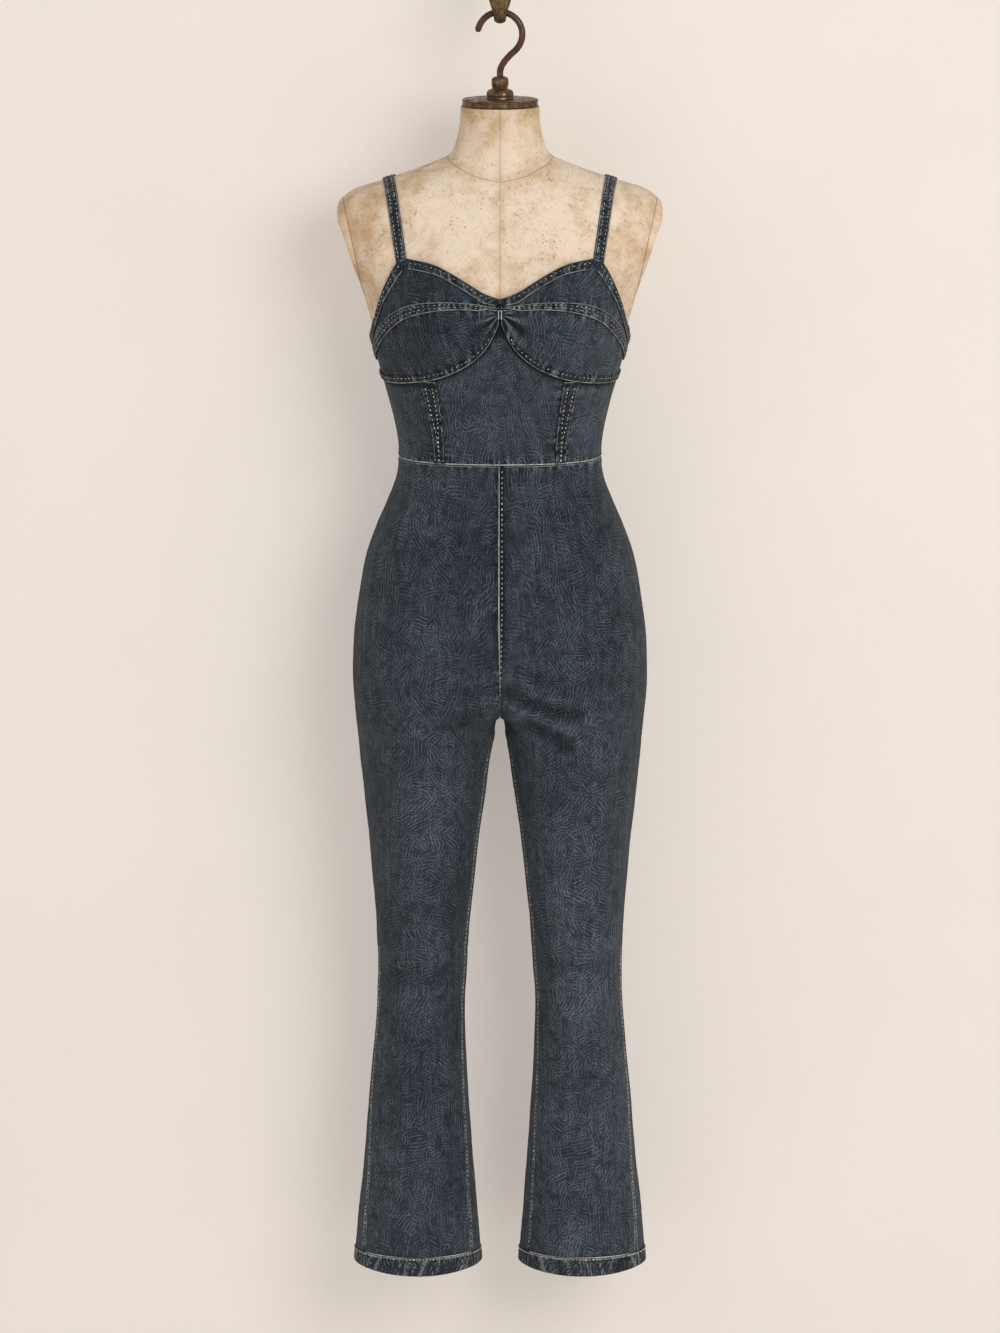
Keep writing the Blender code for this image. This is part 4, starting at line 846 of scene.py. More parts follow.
# Seams are worn pale along a ridge, and dark in the groove where two pieces meet.
edge_away = work_out(tree, "DIVIDE", away, given["Edge width"])
ridge = times(tree, remap(tree, edge_away, 0.0007, 0.0013),
              remap(tree, edge_away, 0.0030, 0.0017))
broken = work_out(tree, "MULTIPLY_ADD", times(tree, shade, 1.3), given["Broken"], 1.0, clamp=True)
ridge = times(tree, times(tree, ridge, broken), remap(tree, shade, -2.0, -1.3))
ridge = times(tree, times(tree, ridge, given["Edge wear"]),
              remap(tree, noise(tree, place, 110, 3), 0.36, 0.58, 0.35, 1.0))
colour = mix_colours(tree, ridge, colour, given["Edge"])
rows = read_attribute(tree, "row_near")
beside_row = work_out(tree, "MINIMUM", work_out(tree, "ABSOLUTE", rows[0]),
                      work_out(tree, "ABSOLUTE", rows[1]))
row_edge = times(tree, remap(tree, beside_row, 0.0019, 0.0026),
                 remap(tree, beside_row, 0.0040, 0.0031))
row_edge = times(tree, row_edge, remap(tree, noise(tree, place, 95, 3), 0.38, 0.6, 0.1, 0.6))
colour = mix_colours(tree, row_edge, colour, given["Edge"])
# Painted shade darkens the channel right beside each stitched row.
colour = mix_colours(tree, times(tree, remap(tree, beside_row, 0.0024, 0.0014), 0.75), colour,
                     given["Shadow"])
worn_line = times(tree, remap(tree, work_out(tree, "ABSOLUTE", rows[2]), 0.0009, 0.0004),
                  remap(tree, noise(tree, place, 130, 2), 0.36, 0.58, 0.45, 1.0))
colour = mix_colours(tree, worn_line, colour, WORN_LINE)
groove = times(tree, remap(tree, away, 0.0012, 0.0003), 0.9)
colour = mix_colours(tree, groove, colour, SEAM_GROOVE)
tree.links.new(colour, result["Colour"])
tree.links.new(remap(tree, tone, 0.0, 1.0, 0.94, 0.80), result["Roughness"])
height = work_out(tree, "MULTIPLY_ADD", streaks, 0.8, times(tree, twill, 0.18))
height = work_out(tree, "ADD", height, times(tree, whorls, 0.5))
height = work_out(tree, "MULTIPLY_ADD", small, 0.8, height)
tree.links.new(height, result["Height"])
WASHED_WEAVE = tree
WEAVE_BUMP = 0.0003
DENIM_SURFACE = {"Specular_IOR_Level": 0.2, "Sheen_Weight": 0.05, "Sheen_Roughness": 0.5}
washed_denim = new_material(
    "washed_denim", WASHED_WEAVE,
    {"Cloth": (0.032, 0.043, 0.058, 1), "Worn and lit": (0.120, 0.147, 0.175, 1),
     "Shadow": (0.007, 0.009, 0.012, 1), "Edge": (0.38, 0.40, 0.41, 1), "Edge wear": 0.9,
     "Edge width": 0.62, "Broken": 0.0, "Mottle": 1.0}, WEAVE_BUMP, **DENIM_SURFACE)


WRAP_JOIN = 0.00002


def cloth(name, node, places, shade, material, inside, thickness=CLOTH, wrap=False,
          slot="denim", seams=(True, True, True, True),
          rows=None):
    """A cloth piece from a grid of places on its outer face, its UVs laid out by distances along
    the cloth in metres.
    """
    i, j = places.shape[0] // 2, places.shape[1] // 2
    middle = places[i, j]
    facing = np.dot(np.cross(places[i, j + 1] - middle, places[i + 1, j] - middle),
                    middle - np.array(inside))
    rows = np.ones(places.shape) if rows is None else rows
    first, last, low, high = seams
    if facing < 0:
        places, shade, rows = places[:, ::-1], shade[:, ::-1], rows[:, ::-1]
        first, last = last, first
    steps = np.linalg.norm(np.diff(places, axis=1), axis=2)
    climbs = np.linalg.norm(np.diff(places, axis=0), axis=2)
    across = np.pad(np.cumsum(steps, 1), ((0, 0), (1, 0)))
    up = np.pad(np.cumsum(climbs, 0), ((1, 0), (0, 0)))
    mesh, row, column = grid_mesh(name, places)
    uv = np.stack([across - across[:, -1:] / 2, up], -1)[row, column]
    loop_vertex = np.empty(len(mesh.loops), int)
    mesh.loops.foreach_get("vertex_index", loop_vertex)
    mesh.uv_layers.new(name="cloth")
    mesh.uv_layers["cloth"].data.foreach_set("uv", uv[loop_vertex].astype(np.float32).ravel())
    near_first = across if first and not wrap else np.ones_like(across)
    near_last = across[:, -1:] - across if last and not wrap else np.ones_like(across)
    near_end = np.minimum(up if low else 1 + 0 * up, up[-1:] - up if high else 1 + 0 * up)
    set_attribute(mesh, "seam_near", np.stack([near_first, near_last, near_end], -1)[row, column])
    set_attribute(mesh, "shade", shade[row, column])
    set_attribute(mesh, "row_near", rows[row, column])
    if wrap:
        bm = bmesh.new()
        bm.from_mesh(mesh)
        bmesh.ops.remove_doubles(bm, verts=bm.verts[:], dist=WRAP_JOIN)
        bm.to_mesh(mesh)
        bm.free()
    item = add_piece(name, mesh, material, slot, node, sharp=60)
    wall = item.modifiers.new("cloth", "SOLIDIFY")
    wall.thickness = thickness
    wall.offset = -1.0


def edge_spread(count, crowd=0.6):
    """Shares from 0 to 1, closer together at both ends."""
    t = np.linspace(0, 1, count)
    return t - crowd / (2 * np.pi) * np.sin(2 * np.pi * t)


# Where the topstitching shows from the front, as (height, distance in from the leg's outline).
INNER_ROW = ((-0.930, 0.0030), (-1.260, 0.0032), (-1.400, 0.0060), (-1.560, 0.0098))
INNER_ROW_TOP = -0.915
SIDE_ROW_TOP = -1.18
SIDE_ROW = ((-0.600, 0.0012), (-1.260, 0.0016), (-1.380, 0.0030), (-1.460, 0.0066),
            (-1.560, 0.0104))


def row_share(z, line):
    """Share across a leg, from the outline, where a stitched row lies."""
    z = np.minimum(z, INNER_ROW[0][0])
    half = (read_curve(LEG, z, 2) - read_curve(LEG, z, 1)) / 2
    return np.arccos(1 - read_curve(line, z) / half) / np.pi


# Heights of the rows on the trouser panels, from the hem up to the waist.
leg_heights = np.concatenate([
    np.linspace(WAIST_Z - HALF_GAP, -0.600, 16), np.linspace(-0.603, -0.845, 70),
    np.linspace(-0.848, -0.935, 40), np.linspace(-0.939, HEM_TOP_Z + 0.0003, 150)])[::-1]


# A panel's width along the cloth, for each metre that its leg reaches outwards.
PANEL_WIDTH = 1.35


def panel_width(z):
    return read_curve(LEG, z, 2) * PANEL_WIDTH


def leg_out(way, face, share, z):
    """How far a trouser panel's face is out from its smooth surface, and its shade."""
    seed = 1.0 + 2.1 * (way > 0) + 4.3 * (face == "back")
    x = trousers(share, z, face)[..., 0]
    from_inner = share * panel_width(z)
    from_side = (1 - share) * panel_width(z)
    from_waist = WAIST_Z - z
    out = 0.0006 * uneven(x * 0.7, z, 6, seed) * ease(-0.70, -1.00, z)
    out = out + 0.00035 * uneven(x, z * 0.6, 17, seed + 1)
    tint = 0.16 * uneven(x, z * 0.8, 9, seed + 2)
    flare = ease(-1.26, -1.55, z) * np.sin(2 * np.pi * (2.2 * share + 0.13 * seed))
    out = out + 0.0016 * flare * np.sin(np.pi * share)
    for where, line, spread, depth in CREASES:
        if where == face and (line[0][0] > 0) == (way > 0):
            moved, tone_and_shading = crease(x * way, z, line, spread, depth)
            out, tint = out + moved, tint + tone_and_shading * depth / 0.0042
    waist_pucker = pucker(x * 1.1, from_waist, 105, 0.008, seed)
    inner_pucker = pucker(z, from_inner, 95, 0.0045, seed + 3)
    side_pucker = pucker(z, from_side, 100, 0.0045, seed + 5)
    out = out + 0.0004 * waist_pucker + 0.0003 * inner_pucker + 0.0003 * side_pucker
    # The puckers are painted lighter where raised and darker between: painted light and shade, with
    # the wash wear of puckered seams.
    tint = tint + 1.5 * waist_pucker + 0.5 * inner_pucker + 0.5 * side_pucker
    # Painted shade darkens the cloth towards the side and inner seams, where the legs turn away at
    # their outlines.
    tint = tint - side_shadow(from_side, 0.017) - 0.7 * fade(from_inner, 0.009)
    tint = tint + 0.25 * fade(share - 0.5, 0.28) * fade(z + 1.12, 0.16)
    # Painted light makes the calves lighter, where the key light falls off lower down; the whole
    # leg is a little darker overall.
    tint = tint + 0.20 * ease(-1.10, -1.45, z) - 0.12
    # Painted light and shade: the +X knee lighter and the -X knee darker, as if lit from the right.
    tint = tint + 0.14 * way * ease(-0.98, -1.12, z) * (1 - 0.6 * ease(-1.20, -1.40, z))
    for away in (from_inner, from_side, from_waist):
        out = out + seam_dip(away)
    return out, tint


for side, way in (("left", 1), ("right", -1)):
    for face in ("front", "back"):
        behind = face == "back"
        shares, z = np.meshgrid(edge_spread(66), leg_heights)
        half = read_curve(FIGURE, np.maximum(z, CROTCH_Z), 1) + OUTSIDE
        edge = np.where(z > ZIP_END_Z, ZIP_SLOT if behind else HALF_GAP, HALF_GAP)
        inner = np.where(z > CROTCH_Z, edge / (half * np.pi / 2), 0.0005)
        share = inner + (0.9995 - inner) * shares
        width = panel_width(z)
        out, tint = leg_out(way, face, share, z)
        if face == "front" and way > 0:
            tint = tint - 2.2 * np.exp(-(share * width / 0.0042) ** 4) * (z > CROTCH_Z)
        inner_row = (share - row_share(z, INNER_ROW)) * width + (z > INNER_ROW_TOP) + behind
        side_row = (1 - share - row_share(z, SIDE_ROW)) * width + (z > SIDE_ROW_TOP) + behind
        rise_line = share * width - 0.0010 + (z < CROTCH_Z) + (behind or way > 0)
        cloth(f"trouser_{face}_{side}", f"leg_{face}_{side}",
              on_side(on_trousers(share, z, face, out), way), tint, washed_denim,
              (way * INSIDE_LEG_X, FIGURE_Y, INSIDE_LEG_Z),
              seams=(behind or way < 0, True, False, True),
              rows=np.stack([inner_row, side_row, rise_line], -1))

# The hems are turned up and sewn down, so each is a ring of doubled cloth that has
# roped a little in the wash. They dip slightly in front and behind.
HEM_SIDE_Z = -1.576
HEM_DROP = 0.007
HEM_OUT = 0.0012
HEM_CLOTH = 0.0026
# Metres along the hem from seam to seam, for its roping and for the stitched rows.
HEM_LENGTH, HEM_PANEL = 0.25, 0.24

stitched_denim, puckered_denim, piped_denim = (
    new_material(name, WASHED_WEAVE,
                 {"Cloth": (0.020, 0.026, 0.035, 1), "Worn and lit": (0.150, 0.170, 0.185, 1),
                  "Shadow": (0.005, 0.006, 0.008, 1), "Edge": (0.36, 0.38, 0.38, 1),
                  "Edge wear": wear, "Edge width": 0.65, "Broken": broken, "Mottle": 0.9},
                 WEAVE_BUMP, **DENIM_SURFACE)
    for name, wear, broken in (("stitched_denim", 0.9, 0.0), ("puckered_denim", 0.8, 1.0),
                               ("piped_denim", 1.0, 0.0)))
piped_denim.node_tree.nodes["Group"].inputs["Edge"].default_value = (0.62, 0.64, 0.63, 1)


def hem_places(around, level, out):
    """Places on a hem: around is 0 to 2 from the inner seam, level 0 at the bottom to 1."""
    back = around > 1
    share = np.where(back, 2 - around, around)
    bottom = HEM_SIDE_Z - HEM_DROP * np.sin(np.pi * share) ** 2
    z = bottom + (HEM_TOP_Z - bottom) * level
    read_z = np.maximum(z, LEG[-1][0])
    front = on_trousers(share, read_z, "front", out)
    rear = on_trousers(share, read_z, "back", out)
    places = np.where(back[..., None], rear, front)
    places[..., 2] = z
    return places


def hem_roping(around, level, way):
    """The slanting ropes round a hem, and how far its face is out with them."""
    roped = pucker(around * HEM_LENGTH + 0.010 * level, 0 * around, 92, 1.0, 1.7 + way)
    return roped, HEM_OUT + 0.0005 * roped


for side, way in (("left", 1), ("right", -1)):
    around, level = np.meshgrid(np.linspace(0, 2, 181), np.linspace(0, 1, 13))
    length = around * HEM_LENGTH
    roped, out = hem_roping(around, level, way)
    out = out - 0.0007 * fade(1 - level, 0.10) + 0.0004 * uneven(length, level * 0.02, 9, 2 + way)
    behind = 1.0 * (around > 1)
    inner_row = (around - row_share(HEM_TOP_Z + 0 * around, INNER_ROW)) * HEM_PANEL + behind
    side_row = (1 - around - row_share(HEM_TOP_Z + 0 * around, SIDE_ROW)) * HEM_PANEL + behind
    streak = pucker(length + 0.006 * level, 0 * length, 141, 1.0, 2.9 + way)
    tint = 1.6 * np.clip(roped, 0, 1) ** 2 + 1.4 * np.clip(streak, 0, 1) ** 2 - 0.1
    cloth(f"hem_band_{side}", f"hem_{side}", on_side(hem_places(around, level, out), way), tint,
          stitched_denim, (way * 0.10, FIGURE_Y, -1.57), thickness=HEM_CLOTH,
          wrap=True, slot="denim_bands", seams=(False, False, False, True),
          rows=np.stack([inner_row, side_row, 1 + 0 * around], -1))

# The bodice front is a middle panel that runs up to a point between the cups, and two
# side panels. A narrow band covers each seam between them, sewn down in two rows.
UNDERBUST = (
    (0.0, -0.4020), (0.8, -0.4045), (3.4, -0.4185), (7.5, -0.4330), (14.4, -0.4475),
    (22.0, -0.4580), (29.6, -0.4655), (38.0, -0.4710), (48.7, -0.4755), (64.6, -0.4785),
    (80.7, -0.4785), (90.0, -0.4770),
)
PRINCESS = 35.0
PRINCESS_TOP, PRINCESS_WAIST = 4.4, 3.2
SEAM_TURN = math.degrees(HALF_GAP / 0.10)
BAND_CLOTH = 0.0012
BAND_OUT = 0.0003 + BAND_CLOTH
# Metres round the midriff to one degree, and a point inside the bodice.
MIDRIFF_ARC = 0.00205
INSIDE_BODICE = (0, FIGURE_Y, -0.5)


def midriff_z(degrees, share):
    """Height on the midriff at a share of the way up from the waist to the cups."""
    top = read_curve(UNDERBUST, np.maximum(np.abs(degrees), 0.4)) - 0.0003
    top = top + (-0.394 - top) * (1 - ease(0.8, 2.6, np.abs(degrees)))
    return WAIST_Z + HALF_GAP + (top - WAIST_Z - HALF_GAP) * share


def princess_half(share):
    """Half the width of the band over the princess seam, in degrees."""
    return PRINCESS_WAIST + (PRINCESS_TOP - PRINCESS_WAIST) * share


def midriff_out(degrees, z, side):
    """How far the midriff's face is out from the figure, and its shade."""
    from_centre = np.abs(degrees)
    x = MIDRIFF_ARC * from_centre
    beside_band = np.abs(from_centre - PRINCESS) * MIDRIFF_ARC - 0.0065
    under_cup = read_curve(UNDERBUST, np.maximum(from_centre, 2.2)) - z
    along_waist = pucker(x * side, z - WAIST_Z, 112, 0.0075, 2.0 + side)
    along_band = pucker(z, np.abs(beside_band), 96, 0.0055, 4.0 + side + (beside_band > 0))
    out = OUTSIDE + 0.0004 * along_waist + 0.0004 * along_band
    out = out + 0.0003 * uneven(x * side, z, 16, 7.0) + seam_dip(z - WAIST_Z)
    # Painted shadow darkens the midriff just under the cups' lower band.
    under_cup_shadow = fade(np.maximum(under_cup, 0), 0.0046)
    # The puckers by the waist and the princess bands are painted lighter where raised and darker
    # between: painted light and shade.
    tint = 1.5 * along_waist + 1.3 * along_band - 2.2 * under_cup_shadow + 0.14 * uneven(x * side, z, 12, 5.0)
    tint = tint - side_shadow((90 - from_centre) * MIDRIFF_ARC, 0.016)
    # At the centre the panel's top sinks behind the cups, and painted shade darkens it there.
    sunk = 1 - ease(1.8, 3.4, from_centre)
    out = out - 0.0017 * sunk * ease(-0.4200, -0.4080, z)
    return out, tint - 0.8 * sunk * ease(-0.416, -0.411, z)


def worn_rows(away):
    """The rows of a piece with no stitched rows, and a worn line at a distance."""
    return np.stack([1 + 0 * away, 1 + 0 * away, away], -1)


def waist_line(z):
    """The rows of a bodice piece, with a worn line just above the waist seam."""
    return worn_rows(z - WAIST_Z - 0.0012)


share, spread = np.meshgrid(edge_spread(72), np.linspace(-1, 1, 101), indexing="ij")
edge = PRINCESS - SEAM_TURN
degrees = spread * edge
z = midriff_z(degrees, share)
out, tint = midriff_out(degrees, z, np.where(degrees < 0, -1, 1))
cloth("bodice_middle", "bodice_centre_front", both_halves(degrees, z, out), tint, washed_denim,
      INSIDE_BODICE, seams=(True, True, True, False), rows=waist_line(z))

for side, way in (("left", 1), ("right", -1)):
    share, across = np.meshgrid(edge_spread(56), edge_spread(50, 0.3), indexing="ij")
    degrees = PRINCESS + SEAM_TURN + across * (90 - PRINCESS - 2 * SEAM_TURN)
    z = midriff_z(degrees, share)
    out, tint = midriff_out(degrees, z, way)
    out = out + seam_dip((90 - degrees) * MIDRIFF_ARC)
    cloth(f"bodice_side_{side}", f"bodice_side_front_{side}",
          on_side(on_figure(degrees, z, out), way), tint, washed_denim, INSIDE_BODICE,
          seams=(True, True, True, False), rows=waist_line(z))
    share, across = np.meshgrid(np.linspace(0, 1, 64), np.linspace(-1, 1, 13), indexing="ij")
    wander = 0.22 * np.sin(share * 71 + 2 * across + way)
    degrees = PRINCESS + across * (princess_half(share) + wander)
    z = midriff_z(np.full_like(share, PRINCESS), share)
    wrinkled = pucker(z, 0 * z, 118, 1.0, 6.0 + way) * (0.5 + 0.5 * np.abs(across))
    lift = 0.0003 * (1 - across ** 4) + 0.0005 * wrinkled * (1 - 0.6 * across ** 2)
    out = OUTSIDE + BAND_OUT + 0.0009 + lift
    # The strip is painted lighter on its raised puckers and darker between, painted light and
    # shade, on a darker band.
    cloth(f"princess_strip_{side}", f"princess_band_{side}",
          on_side(on_figure(degrees, z, out), way), 0.8 * wrinkled - 0.3, puckered_denim,
          INSIDE_BODICE, thickness=BAND_CLOTH, slot="denim_bands")

# Each cup is a lower and an upper piece, gathered at the centre. Bands of doubled cloth
# cover the seam across the cup and bind its lower edge, its neckline and its armhole.
NECK_EDGE = (
    (0.0, -0.3740), (7.0, -0.3665), (13.0, -0.3550), (18.5, -0.3435), (23.0, -0.3350),
    (28.0, -0.3300), (34.0, -0.3265),
)
ARMHOLE_EDGE = (
    (36.8, -0.3290), (43.0, -0.3445), (50.0, -0.3620), (57.0, -0.3815), (65.5, -0.4025),
    (78.0, -0.4210), (90.0, -0.4280),
)
CROSS_UPPER = (
    (0.0, -0.3840), (7.0, -0.3805), (19.0, -0.3780), (31.0, -0.3790), (39.0, -0.3835),
    (49.0, -0.3945), (61.0, -0.4135), (72.0, -0.4300), (84.0, -0.4400), (90.0, -0.4425),
)
CROSS_LOWER = (
    (0.0, -0.3875), (8.0, -0.3885), (16.0, -0.3875), (25.0, -0.3890), (36.0, -0.3955),
    (45.0, -0.4060), (56.0, -0.4245), (72.0, -0.4465), (84.0, -0.4555), (90.0, -0.4580),
)
BACK_TOP = ((90.0, -0.4280), (120.0, -0.4240), (150.0, -0.4200), (180.0, -0.4180))
STRAP_CORNER = (34.0, 36.8)
EDGE_BAND_DROP = 0.013
UNDERBUST_BAND_RISE = 0.0095
CUP_EDGE_LIFT, CUP_FULL_LIFT = 0.0024, 0.0050
KNOT_Z = -0.391
GATHER_Z = -0.3825
GATHER_SHARE = 0.62
GATHER_REACH = (1.4, 11.0)
# Metres round the bust to one degree, and a point inside the bust.
BUST_ARC = 0.0024
INSIDE_BUST = (0, FIGURE_Y, -0.42)
# Folds that fan out from the knot: angle below the level in degrees, depth, length.
KNOT_FOLDS = {
    1: ((-8, 0.0014, 0.018), (-34, 0.0030, 0.026), (-62, 0.0012, 0.020), (22, 0.0012, 0.014)),
    -1: ((-12, 0.0016, 0.018), (-36, 0.0028, 0.024), (-60, 0.0014, 0.022), (18, 0.0012, 0.016)),
}


def top_edge(degrees):
    """Height of the bodice's top edge, in front and behind."""
    neck_end, arm_start = STRAP_CORNER
    share = np.clip((degrees - neck_end) / (arm_start - neck_end), 0, 1)
    corner = NECK_EDGE[-1][1] + (ARMHOLE_EDGE[0][1] - NECK_EDGE[-1][1]) * share
    value = np.where(degrees <= neck_end, read_curve(NECK_EDGE, degrees), corner)
    value = np.where(degrees >= arm_start, read_curve(ARMHOLE_EDGE, degrees), value)
    return np.where(degrees > 90, read_curve(BACK_TOP, degrees), value)


def cross_middle(degrees):
    return (read_curve(CROSS_UPPER, degrees) + read_curve(CROSS_LOWER, degrees)) / 2


def edge_band_low(degrees):
    return np.maximum(top_edge(degrees) - EDGE_BAND_DROP, read_curve(CROSS_UPPER, degrees) + 0.0008)


def underbust_band_top(degrees):
    room = read_curve(CROSS_LOWER, degrees) - read_curve(UNDERBUST, degrees)
    return read_curve(UNDERBUST, degrees) + np.minimum(UNDERBUST_BAND_RISE, 0.45 * room)


def cup_out(degrees, z, side):
    """How far a cup's face is out from the figure, and its shade."""
    low = read_curve(UNDERBUST, degrees)
    up = np.clip((z - low) / (top_edge(degrees) - low), 0, 1)
    lift = CUP_EDGE_LIFT * (1 - up) + CUP_FULL_LIFT * 4 * up * (1 - up) * (1 - 0.5 * up)
    lift = lift * (1 - ease(55, 90, degrees)) * (0.45 + 0.55 * ease(0, 12, degrees))
    x = figure(degrees, z)[..., 0]
    away = np.hypot(x, z - KNOT_Z)
    turn = np.degrees(np.arctan2(z - KNOT_Z, x))
    fold, tint = 0.0, 0.0
    start = ease(0.0015, 0.006, away)
    # The folds from the knot are painted dark in their troughs and light on their ridges: painted
    # shade and light.
    for angle, depth, length in KNOT_FOLDS[side]:
        width = 7.5 + 2.0 * away / 0.02
        trough = fade(turn - angle, width)
        ridge = fade(np.abs(turn - angle) - 1.7 * width, width)
        reach = start * fade(away, length)
        fold = fold + depth * reach * (0.5 * ridge - trough)
        tint = tint + reach * (1.6 * ridge - 3.2 * trough) * depth / 0.0022
    fold = fold * ease(0.0, 0.010, top_edge(degrees) - z)
    along = BUST_ARC * degrees
    seam_away = np.minimum(np.abs(z - read_curve(CROSS_UPPER, degrees)),
                           np.abs(z - read_curve(CROSS_LOWER, degrees)))
    at_cross = pucker(along, seam_away, 120, 0.0045, 3.0 + side)
    at_low = pucker(along, np.abs(z - underbust_band_top(degrees)), 110, 0.0045, 8.0 + side)
    at_edge = pucker(along, np.abs(z - edge_band_low(degrees)), 100, 0.0040, 5.0 + side)
    out = OUTSIDE + lift + fold + 0.0004 * at_cross + 0.0004 * at_low + 0.0003 * at_edge
    out = out + 0.0004 * uneven(along * side, z, 22, 3.0)
    # The puckers are painted lighter where raised and darker between: painted light and shade.
    tint = tint + 1.4 * at_cross + 1.3 * at_low + 0.8 * at_edge
    tint = tint + 0.15 * uneven(along * side, z, 20, 9.0)
    tint = tint - side_shadow((90 - degrees) * BUST_ARC, 0.015)
    # Painted shade: the -X cup is darker, on the side away from the key light.
    return out, tint - 0.28 * (side < 0)


def gathered(degrees, z):
    """Heights on the band over a cup's seam, drawn together towards the keeper."""
    return z + (GATHER_Z - z) * GATHER_SHARE * (1 - ease(*GATHER_REACH, degrees))


def cup_grid(degrees, lines, counts):
    """Rows of places between lines of the cup, with a count of rows for each strip."""
    rows = []
    for low, high, count in zip(lines, lines[1:], counts):
        for share in np.linspace(0, 1, count, endpoint=False):
            rows.append(low + (high - low) * share)
    rows.append(lines[-1])
    z = np.array(rows)
    return np.broadcast_to(degrees, z.shape), z


def rounded(count, along_count):
    """A low crown across a band, and the dip at its edges."""
    across = np.linspace(-1, 1, count)[:, None] * np.ones(along_count)
    return 0.0003 * (1 - across ** 2) - 0.0005 * np.abs(across) ** 7


BANDS = {}
for side, way in (("left", 1), ("right", -1)):
    knot_spread = np.linspace(0, 1, 110) ** 1.25
    for name, first in (("upper_cup", 0.06), ("lower_cup", 0.5)):
        degrees = first + (90 - SEAM_TURN - first) * knot_spread
        if name == "upper_cup":
            degrees = np.sort(np.concatenate([degrees, STRAP_CORNER]))
            lines = (cross_middle(degrees) + HALF_GAP, edge_band_low(degrees), top_edge(degrees))
            counts = (34, 12)
        else:
            lines = (read_curve(UNDERBUST, degrees), underbust_band_top(degrees),
                     cross_middle(degrees) - HALF_GAP)
            counts = (12, 44)
        turned, z = cup_grid(degrees, lines, counts)
        out, tint = cup_out(turned, z, way)
        cloth(f"{name}_cloth_{side}", f"{name}_{side}", on_side(on_figure(turned, z, out), way),
              tint, washed_denim, INSIDE_BUST)
    strips = (
        ("cup_seam", 1.4, 89.9, lambda u: read_curve(CROSS_LOWER, u),
         lambda u: read_curve(CROSS_UPPER, u), 0.0003, "lower_cup_cloth", True),
        ("underbust", 1.4, 89.9, lambda u: read_curve(UNDERBUST, u), underbust_band_top, 0.0,
         "lower_cup_cloth", False),
        ("neckline", 0.06, STRAP_CORNER[0], edge_band_low, top_edge, 0.0, "upper_cup_cloth", False),
        ("armhole", STRAP_CORNER[1], 89.9, edge_band_low, top_edge, 0.0, "upper_cup_cloth", False),
    )
    for name, first, last, low, high, extra, under, light_top in strips:
        degrees = first + (last - first) * (np.linspace(0, 1, 120) ** 1.2)
        turned, z = cup_grid(degrees, (low(degrees), high(degrees)), (10,))
        out, tint = cup_out(turned, z, way)
        wrinkled = pucker(BUST_ARC * turned, 0 * z, 115, 1.0, 2.0 + way + 3 * extra)
        # The puckers are painted lighter where raised and darker between, painted light and shade;
        # the underbust band is darker overall.
        tone_and_shading = 1.3 * wrinkled - 0.2 if name == "underbust" else 0.6 * wrinkled
        out = out + BAND_OUT + extra + 0.0005 + rounded(*z.shape) + 0.0002 * wrinkled
        if name == "cup_seam":
            z = gathered(turned, z)
            # Near the keeper the gathered band is striped light and dark: painted light and shade
            # of folds that are not modelled.
            ropes = np.sin(np.linspace(0, 9.4, len(z)))[:, None]
            tone_and_shading = tone_and_shading + 1.1 * (1 - ease(*GATHER_REACH, turned)) * ropes
        # A painted shadow darkens the bands at the knot.
        tone_and_shading = tone_and_shading - 3.4 * np.exp(-((turned / 2.4) ** 2 + ((z - GATHER_Z) / 0.0032) ** 2))
        cloth(f"{name}_strip_{side}", f"{name}_band_{side}",
              on_side(on_figure(turned, z, out), way), tone_and_shading + 0.3 * tint,
              piped_denim if name == "underbust" else stitched_denim, INSIDE_BUST,
              thickness=BAND_CLOTH, slot="denim_bands",
              seams=(False, False, True, light_top))
        BANDS[name, side] = (low, high, first, last, extra)

# The keeper is a small loop of doubled denim. It is pulled tight round the middle of the
# cups, gathers them, and is sewn shut behind.
KEEPER_HALF = 0.0024
KEEPER_LOW_Z, KEEPER_TOP_Z = -0.3975, -0.3845
KEEPER_OUT = 0.0052

share, across = np.meshgrid(np.linspace(0, 1, 25), np.linspace(-1, 1, 15), indexing="ij")
z = KEEPER_LOW_Z + (KEEPER_TOP_Z - KEEPER_LOW_Z) * share
crown = 0.0008 * (1 - across ** 2) - 0.0006 * np.abs(2 * share - 1) ** 6
places = on_figure(np.full_like(z, 0.1), z, OUTSIDE + KEEPER_OUT + crown)
places[..., 0] = across * KEEPER_HALF * (1 - 0.12 * np.sin(np.pi * share))
# The keeper is dark down its middle, and painted shade from the knot darkens its top.
tint = -2.4 * fade(across, 0.5) - 2.6 * ease(0.72, 1.0, share)
worn_edges = worn_rows(np.abs(places[..., 0]) - 0.0019 + 0.01 * ease(0.75, 0.95, share))
cloth("keeper_loop", "centre_keeper", places, tint, stitched_denim, (0, FIGURE_Y, -0.39),
      thickness=BAND_CLOTH, slot="denim_bands",
      seams=(False, False, False, False), rows=worn_edges)

# The bodice back is two plain panels that close with a zip at the centre, bound along
# the top by a band.
BACK_BAND_DROP = 0.016
BACK_BAND_END = 4.2


def back_waves(degrees, z, way):
    """How far the bodice back's face waves out and in."""
    return 0.0005 * uneven(MIDRIFF_ARC * degrees * way, z, 12, 6.0)


